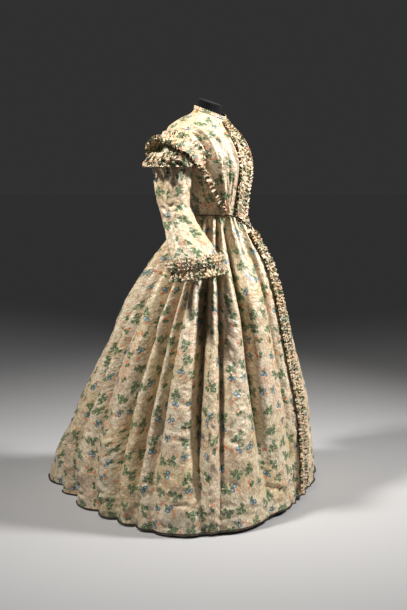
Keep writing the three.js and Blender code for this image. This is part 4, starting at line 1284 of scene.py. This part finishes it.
piping_grid = np.stack([piping_ring(PIPING_LIFT + PIPING_RADIUS * CORE_SHARE * math.cos(a),
                                    -PIPING_RADIUS * CORE_SHARE * math.sin(a))
                        for a in np.linspace(0, 2 * np.pi, 9)])
core = cloth_mesh("waist_core", piping_grid, cloth_uv(piping_grid), BRAID, ring=True, wall=0)
twist = beaded("waist_twist", piping_ring(PIPING_LIFT + TWIST_LIFT, 0), TWIST,
               TWIST_SPACING, BRAID, True)
for piece in (core, twist):
    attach(piece, "root")
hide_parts("waist_piping")
print("piping beads:", len(twist.data.polygons) // 26)

# %% [markdown]
# ## The ruched bands of the closing
# A band of gathered silk runs down each side of the centre front, from the neck to the hem. The
# strip is stitched down along two lines, so it puffs up between them and both edges stand free
# in tight frills. `free` says that: small along the stitching and 1 at the edges.

# %% Ruched bands
BODICE_BAND = {"width": 52, "taper": 0.45, "end": 8, "depth": 100, "swell": 10, "narrowing": 0.12}
SKIRT_BAND = {"width": 38, "taper": 0.2, "ends": (0.022, 0.996)}
CLOSING_HALF_GAP = 5
BAND_COLUMNS = 18


def bodice_band(side, lift):
    t = np.linspace(0, 1, 420)[:, None]
    share = np.linspace(0, 1, BAND_COLUMNS)
    width = BODICE_BAND["width"] * (1 - BODICE_BAND["taper"] * t ** 3)
    depth = BODICE_BAND["depth"] + BODICE_BAND["swell"] * np.sin(np.pi * t)
    angle = np.arcsin((CLOSING_HALF_GAP + width * share) / depth) * (1 - BODICE_BAND["narrowing"] * t)
    foot = waist_z(angle) + BODICE_BAND["end"]
    z = foot + (neck_z(angle) - BODICE_BAND["end"] / 2 - foot) * t
    return torso(side * angle, z, lift(share)) * MM


def skirt_band(side, lift):
    low, high = SKIRT_BAND["ends"]
    level = np.linspace(low, high, 760)[:, None]
    share = np.linspace(0, 1, BAND_COLUMNS)
    zero = np.zeros(1)
    z = hem_z(zero) + (waist_z(zero) - hem_z(zero)) * level
    width = SKIRT_BAND["width"] * (1 - SKIRT_BAND["taper"] * level)
    angle = np.arcsin((CLOSING_HALF_GAP + width * share) / skirt_radius(zero, z))
    r = skirt_radius(angle, z) - fold_depth(angle, level, skirt_radius(angle, z), side)
    r = r + ridge_crown(zero, level) + lift(share)
    return placed(angle, r, 0, z, side) * MM


SEWN_FREEDOM = 0.25


def edge_freedom(share, rows):
    """Sewn down along rows - 1 lines of stitches, free between them and at the edges."""
    loose = np.abs(np.cos(np.pi * share * (rows - 1))) ** 1.3
    return SEWN_FREEDOM + (1 - SEWN_FREEDOM) * loose


# Lift of the middle over its ground, rise of the edges, pitch and depth of the gathers.
BODICE_LIFT, SKIRT_LIFT, EDGE_RISE = 4.5, 4.0, 7.0
BAND_PITCH, BAND_DEPTH, BAND_FULLNESS = 0.0165, 0.0046, 2.0


def band_lift(middle):
    return lambda share: middle + EDGE_RISE * np.abs(2 * share - 1) ** 1.6


BANDS = (("bodice", bodice_band, BODICE_LIFT, (0, 0.02, 1.2), 3.0),
         ("skirt", skirt_band, SKIRT_LIFT, (0, 0, 0.5), 8.0))
for label, side in SIDES:
    for part, band, lift, centre, seed in BANDS:
        trim(f"ruche_{part}_{label}", f"{part}_trim_{label}", band(side, band_lift(lift)),
             edge_freedom(np.linspace(0, 1, BAND_COLUMNS), 3), BAND_PITCH, BAND_DEPTH,
             np.array(centre), BAND_FULLNESS, f"cloth_{part}_front_{label}", overhang=0.8,
             wobble=1.2, seed=seed + side)

# %% [markdown]
# ## The capes
# A wide piece of silk lies over each shoulder from the front waist to the back waist, like a
# small cape. It starts narrow in a point, widens over the sleeve's head and narrows again. Its
# creases run slantwise from the back of the neck to the breast, where the silk pulls.

# %% Capes
CAPE = [
    ((72, -79, 1026), (100, -60, 1028)), ((74, -84, 1060), (116, -50, 1056)),
    ((76, -94, 1110), (133, -38, 1092)), ((79, -103, 1160), (150, -22, 1138)),
    ((80, -104, 1205), (162, -8, 1168)), ((81, -94, 1245), (178, 6, 1190)),
    ((80, -74, 1285), (196, 22, 1212)), ((76, -47, 1318), (216, 44, 1238)),
    ((74, -20, 1344), (236, 76, 1268)), ((76, 12, 1366), (236, 110, 1274)),
    ((74, 44, 1376), (218, 142, 1264)), ((68, 80, 1370), (194, 162, 1244)),
    ((66, 122, 1350), (168, 166, 1214)), ((69, 144, 1322), (148, 160, 1184)),
    ((70, 150, 1286), (134, 152, 1152)), ((68, 144, 1220), (112, 132, 1102)),
    ((60, 116, 1130), (94, 106, 1062)), ((56, 94, 1060), (80, 88, 1032))]
SLEEVE_HEAD = {"centre": (190, 75, 1222), "radii": (70, 70, 82), "lift": 9}
CAPE_LIFT, CAPE_CROWN = 11.5, 6
CAPE_ROWS, CAPE_COLUMNS = 165, 68
CAPE_WIDTH, CAPE_STEP = 150, 36


def clear_of_torso(points, lift):
    """Pushes points out to at least lift millimetres from the bodice."""
    x, y, z = (points[..., k] for k in range(3))
    middle = read(TORSO, "y", z)
    angle = np.arctan2(x, middle - y)
    r = np.maximum(np.hypot(x, y - middle), oval_at(TORSO, angle, z) + lift)
    return placed(angle, r, middle, z)


def clear_of_head(points):
    """Pushes points out of the puffed head of the sleeve."""
    centre = np.array(SLEEVE_HEAD["centre"], float)
    offset = points - centre
    size = np.linalg.norm(offset / (np.array(SLEEVE_HEAD["radii"]) + SLEEVE_HEAD["lift"]), axis=-1)
    return centre + offset / np.minimum(size, 1)[..., None]


def cape_grid(s, t):
    """Cape points in millimetres at rows s and shares t from the inner to the outer edge."""
    inner = along([row[0] for row in CAPE], s)
    outer = along([row[1] for row in CAPE], s)
    points = inner[:, None] + (outer - inner)[:, None] * t[None, :, None]
    lift = CAPE_LIFT + CAPE_CROWN * np.sin(np.pi * t)
    return clear_of_head(clear_of_torso(points, lift[None]))


# Columns: row and share where a crease starts, row and share where it ends, then its width,
# depth and bow. A negative depth is a ridge.
CAPE_CREASES = [
    (9.6, 0.46, 6.2, 0.45, 6, 4.5, 4), (11.7, 0.31, 4.5, 0.66, 6, 5, -6),
    (11.2, 0.40, 5.0, 0.78, 6, -4.5, 5), (13.6, 0.10, 4.0, 0.60, 6, -4, 6),
    (12.2, 0.05, 7.4, 0.38, 5, 4, -4), (10.5, 0.14, 5.5, 0.31, 6, -4, 5),
    (7.7, 0.92, 5.2, 0.69, 5, 5, 3), (5.4, 0.25, 2.1, 0.40, 6, 4, 3),
    (5.7, 0.40, 1.8, 0.62, 6, -4.5, -3), (4.7, 0.43, 1.4, 0.80, 5, 4, 3),
    (8.6, 0.86, 6.4, 0.60, 5, -4, -3), (10.4, 0.90, 8.2, 0.66, 5, 4.5, 4),
    (3.4, 0.20, 0.8, 0.34, 5, 3.5, 2), (9.0, 0.20, 6.4, 0.22, 5, 3, 3),
    (12.5, 0.55, 10.4, 0.72, 5, 4, 3), (14.5, 0.30, 12.4, 0.80, 6, -3.5, 4),
    (15.6, 0.30, 13.4, 0.55, 6, 3.5, 3), (3.0, 0.55, 0.9, 0.70, 5, -3.5, 2)]


def cape_axis(points):
    return np.stack([points[..., 0] * 0.4, 0 * points[..., 0] + 20, points[..., 2] - 60], -1)


CAPE_CRUMPLE, CAPE_GRAIN, CAPE_CREASE_GAIN = 4.5, 1.4, 1.3
LEFT_NUDGE = 0.35


def mirrored(points, side):
    """Points in metres on one side, from millimetres on the left."""
    return points * np.array([side, 1, 1]) * MM


for label, side in SIDES:
    s = np.linspace(0, len(CAPE) - 1, CAPE_ROWS)
    t = np.linspace(0, 1, CAPE_COLUMNS)
    plain = cape_grid(s, t)
    out = facing(grid_normals(plain), plain, cape_axis(plain))
    y, x = np.meshgrid(s * CAPE_STEP, t * CAPE_WIDTH, indexing="ij")
    nudge = 0 if side < 0 else LEFT_NUDGE
    lines = [((t0 + nudge / 9) * CAPE_WIDTH, (s0 + nudge) * CAPE_STEP,
              (t1 - nudge / 9) * CAPE_WIDTH, (s1 - nudge) * CAPE_STEP, width, depth, bow)
             for s0, t0, s1, t1, width, depth, bow in CAPE_CREASES]
    quiet = np.clip(np.minimum(t, 1 - t) * 8, 0.15, 1)[None]
    sunk = CAPE_CREASE_GAIN * creases(x, y, lines)
    sunk = sunk + CAPE_CRUMPLE * crumple(x, y * 0.8, 30, 71 + side)
    sunk += CAPE_GRAIN * crumple(x, y, 14, 31 + side)
    points = mirrored(plain - out * (sunk * quiet)[..., None], side)
    flat = mirrored(plain, side)
    cape = cloth_mesh(f"cloth_cape_{label}", points, cloth_uv(flat), SILK,
                      outward=mirrored(cape_axis(plain), side))
    finish_cloth(cape, f"cape_{label}", cut_of(flat))

# %% [markdown]
# ## The frill round each cape
# The cape's outer edge carries the same gathered silk, stitched along its middle. Its outer
# edge stands up most and catches the light.

# %% Cape frills
FRILL_SHARES = np.linspace(0.89, 1.11, 12)
FRILL_LIFT, FRILL_INNER_RISE, FRILL_OUTER_RISE = 4.0, 5.0, 23.0
FRILL_PITCH, FRILL_DEPTH, FRILL_FULLNESS, FRILL_SEWN = 0.0200, 0.0085, 2.0, 0.3
FRILL_STEPS, FRILL_END = 620, 0.05
share = np.linspace(0, 1, len(FRILL_SHARES))
rise = FRILL_LIFT + FRILL_INNER_RISE * (1 - share) ** 3 + FRILL_OUTER_RISE * share ** 2
strip = cape_grid(np.linspace(FRILL_END, len(CAPE) - 1 - FRILL_END, FRILL_STEPS), FRILL_SHARES)
strip = strip + facing(grid_normals(strip), strip, cape_axis(strip)) * rise[None, :, None]
for label, side in SIDES:
    sided = mirrored(strip, side)
    trim(f"ruche_cape_{label}", f"cape_trim_{label}", sided,
         FRILL_SEWN + (1 - FRILL_SEWN) * np.abs(2 * share - 1) ** 1.2, FRILL_PITCH,
         FRILL_DEPTH, cape_axis(sided), FRILL_FULLNESS, f"cloth_cape_{label}", overhang=0.9,
         wobble=1.3, seed=9.0 + side)

# %% [markdown]
# ## The sleeves
# Each sleeve is a tube that swells at the head, narrows to the elbow and opens as a bell. Its
# rings are a table of centres, radii and tilts. Gathers fan down from the head, creases break
# across the inside of the elbow, and soft folds open into the bell.

# %% Sleeve rings
SLEEVE = table("x y z across lengthways out forward", [
    (170, 56, 1254, 44, 44, 84, 0), (182, 64, 1246, 51, 52, 58, 0), (200, 76, 1225, 59, 60, 34, 0),
    (215, 85, 1193, 64, 65, 12, 0), (226, 87, 1152, 62, 64, 4, 0), (234, 84, 1108, 59, 61, 0, 0),
    (241, 76, 1066, 55, 56, 0, -6), (249, 63, 1028, 54, 54, 0, -14), (260, 44, 990, 58, 58, 0, -16),
    (274, 21, 953, 66, 67, 0, -13), (290, -2, 918, 73, 75, 0, -11), (305, -20, 886, 78, 80, 0, -9),
    (316, -33, 859, 82, 84, 0, -9)])
SLEEVE_ROWS, SLEEVE_COLUMNS = 130, 116
LEFT_CUFF_BACK, DRAWN_FROM, DRAWN_TO = 62, 1110, 860
# Columns: turn and ring where a crease starts, turn and ring where it ends, width, depth, bow.
SLEEVE_CREASES = [
    (12, 1.6, 6, 5.6, 7, 8, 3), (28, 1.8, 22, 5.0, 7, -4, -2), (-6, 1.8, -10, 5.2, 7, -5, 3),
    (-28, 1.6, -22, 5.4, 7, 8, -4), (-46, 1.8, -38, 4.8, 7, -5, 3), (46, 1.8, 42, 5.2, 7, 6, 3),
    (62, 2.0, 58, 4.6, 7, -4, 2), (18, 3.6, -18, 5.6, 5, 5, 3), (26, 5.6, -16, 6.4, 6, 6, 5),
    (34, 6.5, -4, 7.1, 6, -6, 5), (44, 6.2, 8, 6.9, 6, 6, -4), (-10, 6.2, -44, 6.8, 6, 5, -4),
    (-20, 6.9, -52, 7.3, 6, -5, 4), (10, 7.4, 4, 10.6, 9, 6, 4), (-18, 7.6, -22, 10.8, 9, -6, 3),
    (-38, 7.4, -48, 11.0, 9, 8, -4), (34, 7.4, 40, 10.8, 9, -6, 4), (58, 7.2, 66, 11.0, 9, 7, 3),
    (-66, 7.2, -78, 10.6, 9, -6, 4), (90, 2.0, 84, 5.0, 7, 6, 3), (120, 2.2, 118, 5.2, 7, -5, 3),
    (150, 2.0, 152, 5.0, 7, 6, -3), (-80, 1.8, -72, 4.8, 7, 6, 3), (-110, 2.0, -104, 5.0, 7, -5, 3),
    (-140, 2.2, -138, 5.2, 7, 6, 3), (110, 7.2, 118, 10.8, 9, 7, 4), (-120, 7.4, -126, 10.8, 9, 7, 4),
    (160, 7.2, 166, 10.6, 9, -6, 3), (96, 6.2, 60, 6.9, 6, 5, 4), (-90, 6.1, -130, 6.8, 6, 5, 4)]
TURN_STEP, RING_STEP = 1.05, 38


def arm_back(side, z):
    """The left forearm is held further back than the right."""
    t = np.clip((DRAWN_FROM - z) / (DRAWN_FROM - DRAWN_TO), 0, 1)
    return (LEFT_CUFF_BACK if side > 0 else 0) * t * t * (3 - 2 * t)


def sleeve_ring(side, row, turn, shrink):
    """Points of one ring of the sleeve, in millimetres."""
    u = (row["across"] - shrink) * np.cos(turn)
    v = (row["lengthways"] - shrink) * np.sin(turn)
    out, forward = np.radians(row["out"]), np.radians(row["forward"])
    y = row["y"] + arm_back(side, row["z"])
    return np.stack([side * (row["x"] + u * np.cos(out)), y + v * np.cos(forward),
                     row["z"] + u * np.sin(out) + v * np.sin(forward)], -1)


def sleeve_rows(s):
    return {key: along(SLEEVE[key], s)[:, None] for key in SLEEVE}


SLEEVE_CRUMPLE, LEFT_SHIFT = 6.0, 9
HEAD_GATHERS, HEAD_GATHER_DEPTH = 34, 2.2
for label, side in SIDES:
    s = np.linspace(0, len(SLEEVE["z"]) - 1, SLEEVE_ROWS)
    turn = np.linspace(0, 2 * np.pi, SLEEVE_COLUMNS, endpoint=False)[None]
    row = sleeve_rows(s)
    plain = sleeve_ring(side, row, turn, 0)
    degrees = np.degrees(np.arctan2(np.sin(turn), np.cos(turn)))
    x, y = degrees * TURN_STEP + 0 * s[:, None], s[:, None] * RING_STEP + 0 * degrees
    shift = 0 if side < 0 else LEFT_SHIFT
    lines = laid_flat(SLEEVE_CREASES, lambda t, s: ((t + shift) * TURN_STEP, s * RING_STEP))
    quiet = np.clip(np.minimum(s, s[-1] - s) * 2, 0.1, 1)[:, None]
    sunk = creases(x, y, lines)
    blend = np.abs(degrees) / 180
    wrapped = [crumple(x + turn_mm, y, 32, 83 + side) for turn_mm in (0, 360 * TURN_STEP)]
    sunk += SLEEVE_CRUMPLE * (wrapped[0] * (1 - blend) + wrapped[1] * blend)
    head = np.exp(-((s - 1.2) / 1.5) ** 2)[:, None]
    sunk += HEAD_GATHER_DEPTH * head * np.sin(HEAD_GATHERS * turn + 1.2 * np.sin(5 * turn))
    points = sleeve_ring(side, row, turn, sunk * quiet) * MM
    centre = np.stack([side * row["x"], row["y"] + arm_back(side, row["z"]), row["z"]], -1) * MM
    sleeve = cloth_mesh(f"cloth_sleeve_{label}", points, cloth_uv(plain * MM), SILK, ring=True,
                        outward=centre)
    finish_cloth(sleeve, [f"sleeve_top_{label}", f"sleeve_under_{label}"],
                 cut_of(plain * MM, True))

# %% [markdown]
# ## Cuffs
# Above the sleeve's end a wide band is gathered on three lines, and below it a frill hangs free
# and flares. Both are gathered tubes, so the pitch is rounded to close on itself.

# %% Cuff bands and frills
CUFF_BAND = [(306, -21, 888, 84.5), (308, -23, 880, 91), (310, -26, 872, 92.5),
             (313, -29, 864, 92), (315, -32, 857, 88)]
CUFF_FRILL = [(316, -34, 857, 84), (317, -37, 847, 82.5), (319, -40, 837, 84),
              (320, -43, 828, 86), (322, -46, 819, 88)]
CUFF_STEPS = 460
CUFF_TILT = math.tan(math.radians(9))


def tube(rows, side, columns, arc=(0, 2 * math.pi), closed=True, tilt=0.0):
    """Rings of a short tube in millimetres: a row for each point round it, a column for each
    place down it."""
    turn = np.linspace(*arc, CUFF_STEPS, endpoint=not closed)
    t = np.linspace(0, len(rows) - 1, columns)
    line = along(np.array(rows, float), t)
    x = line[None, :, 0] + line[None, :, 3] * np.cos(turn)[:, None]
    y = line[None, :, 1] + (line[None, :, 3] + 2) * np.sin(turn)[:, None]
    y = y + arm_back(side, line[None, :, 2])
    z = line[None, :, 2] - tilt * (y - arm_back(side, line[None, :, 2]) - line[None, :, 1])
    return np.stack([side * x, y, z], -1) * MM


BAND_SHARE, FRILL_SHARE = np.linspace(0, 1, 26), np.linspace(0, 1, 18)
# Name, node, rows, freedom, pitch, depth, middle in millimetres, fullness and slot.
CUFFS = (("ruche_cuff", "cuff_trim", CUFF_BAND, edge_freedom(BAND_SHARE, 4), 0.0125, 0.0062,
          (311, -27, 871), 2.0, "ruched_silk"),
         ("frill_cuff", "cuff_frill", CUFF_FRILL, FRILL_SHARE ** 0.7 * 1.1 + 0.1, 0.021, 0.0100,
          (319, -40, 840), 2.3, "silk"))
CUFF_GATHERS = {"ruche_cuff": {"overhang": 0.9, "wobble": 1.3, "seed": 15.0},
                "frill_cuff": {"overhang": 0.7, "wobble": 1.0, "seed": 21.0, "material": SILK}}
for label, side in SIDES:
    for name, node, rows, free, pitch, depth, middle, fullness, slot in CUFFS:
        centre = np.array([side * middle[0], middle[1] + arm_back(side, 860), middle[2]]) * MM
        gathers = dict(CUFF_GATHERS[name])
        gathers["seed"] += side
        strip = tube(rows, side, len(free), tilt=CUFF_TILT)
        trim(f"{name}_{label}", f"{node}_{label}", strip, free, pitch, depth, centre, fullness,
             f"cloth_sleeve_{label}", slot, ring=True, **gathers)

# %% [markdown]
# ## The frill over each sleeve head
# A stiff gathered frill stands out from the armhole over the sleeve's head. It opens downward
# like a shell, so its curled lower edge catches the light and its inside stays dark.

# %% Cap frills
CAP_FRILL = [(210, 86, 1236, 73), (212, 88, 1224, 80), (213, 90, 1212, 84),
             (214, 91, 1201, 86), (215, 91, 1190, 84)]
CAP_ARC = (math.radians(-78), math.radians(106))
CAP_PITCH, CAP_DEPTH, CAP_FULLNESS, CAP_COLUMNS = 0.030, 0.0130, 2.7, 24
CAP_MIDDLE = (0.213, 0.092, 1.216)
for label, side in SIDES:
    trim(f"frill_cap_{label}", f"sleeve_cap_{label}",
         tube(CAP_FRILL, side, CAP_COLUMNS, CAP_ARC, closed=False),
         0.15 + np.linspace(0, 1, CAP_COLUMNS) ** 0.9, CAP_PITCH, CAP_DEPTH,
         np.array(CAP_MIDDLE) * (side, 1, 1), CAP_FULLNESS, f"cloth_sleeve_{label}",
         overhang=0.8, wobble=1.2, seed=27.0 + side)

# %% [markdown]
# ## The dress form
# The form stands inside the dress and shows only at the neck. It is a smooth padded torso with
# a cotton cover: the same sections as the bodice, drawn in by the gap the cloth needs, with the
# hips below. Piped seams run down its front, sides and back.

# %% Dress form
FORM_LESS = 10.6
FORM_TOP, FORM_BOTTOM, NECK_LEAN_FROM, NECK_LEAN = 1416, 770, 1370, 0.34
FORM_ROWS, FORM_COLUMNS = 120, 96


def form_section(z):
    """Centre depth, half width, depth in front and depth behind of the form at height z."""
    hips = z < WAIST_HEIGHT
    values = [np.where(hips, 0, read(TORSO, "y", z))]
    for key in ("a", "front", "back"):
        values.append(np.where(hips, read(HIPS, key, z), read(TORSO, key, z) - FORM_LESS))
    return values


def closing_rings(end, shares, rise):
    """Rings that close an end: shares of its size, each raised by rise millimetres."""
    middle = end.mean(0)
    return np.stack([middle + (end - middle) * k + [0, 0, rise(k)] for k in shares])


SEAM_ANGLES = (0, 0.62, 1.57, 2.4, 3.1416)
SEAM_WIDTH, SEAM_PROUD, TOP_CROWN, FOOT_CROWN = 1.6, 0.9, 1.6, -0.2
z = np.linspace(FORM_BOTTOM, FORM_TOP, FORM_ROWS)[:, None]
angle = np.linspace(0, 2 * np.pi, FORM_COLUMNS, endpoint=False)[None]
y, a, front, behind = form_section(z)
r = oval(angle, a, front, behind)
seams = sum(np.exp(-((unfold(angle) - place) * r / SEAM_WIDTH) ** 2) for place in SEAM_ANGLES)
r = r + SEAM_PROUD * seams
lean = NECK_LEAN * np.clip((z - NECK_LEAN_FROM) / (FORM_TOP - NECK_LEAN_FROM), 0, None)
wall = np.stack([r * np.sin(angle), y - r * np.cos(angle), z - lean * r * np.cos(angle)], -1)
form_points = MM * np.concatenate([
    closing_rings(wall[0], (0.02, 0.5, 0.9, 0.97), lambda k: FOOT_CROWN * (1 - k)), wall,
    closing_rings(wall[-1], (0.985, 0.94, 0.8, 0.4, 0.02),
                  lambda k: TOP_CROWN * math.sqrt(1 - k * k))])
form = cloth_mesh("form_torso", form_points, cloth_uv(form_points), COTTON, ring=True, wall=0,
                  outward=np.array([0, 0.02, 1.1]))
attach(form, "root")
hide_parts("dress_form")
print("form:", len(form.data.polygons), "quads")

# %% [markdown]
# ## The stand
# The pole and foot keep their CAD shape, which is already right, and get painted steel.

# %% Stand materials
for node in ("stand_pole", "stand_foot"):
    stand = frame["nodes"][node]
    stand.data.materials.clear()
    stand.data.materials.append(STEEL)
print("stand painted")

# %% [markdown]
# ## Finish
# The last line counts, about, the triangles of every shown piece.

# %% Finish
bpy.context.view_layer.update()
triangles = sum(len(o.data.polygons) * (4 if o.modifiers else 2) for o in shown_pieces())
print("triangles, about:", triangles)
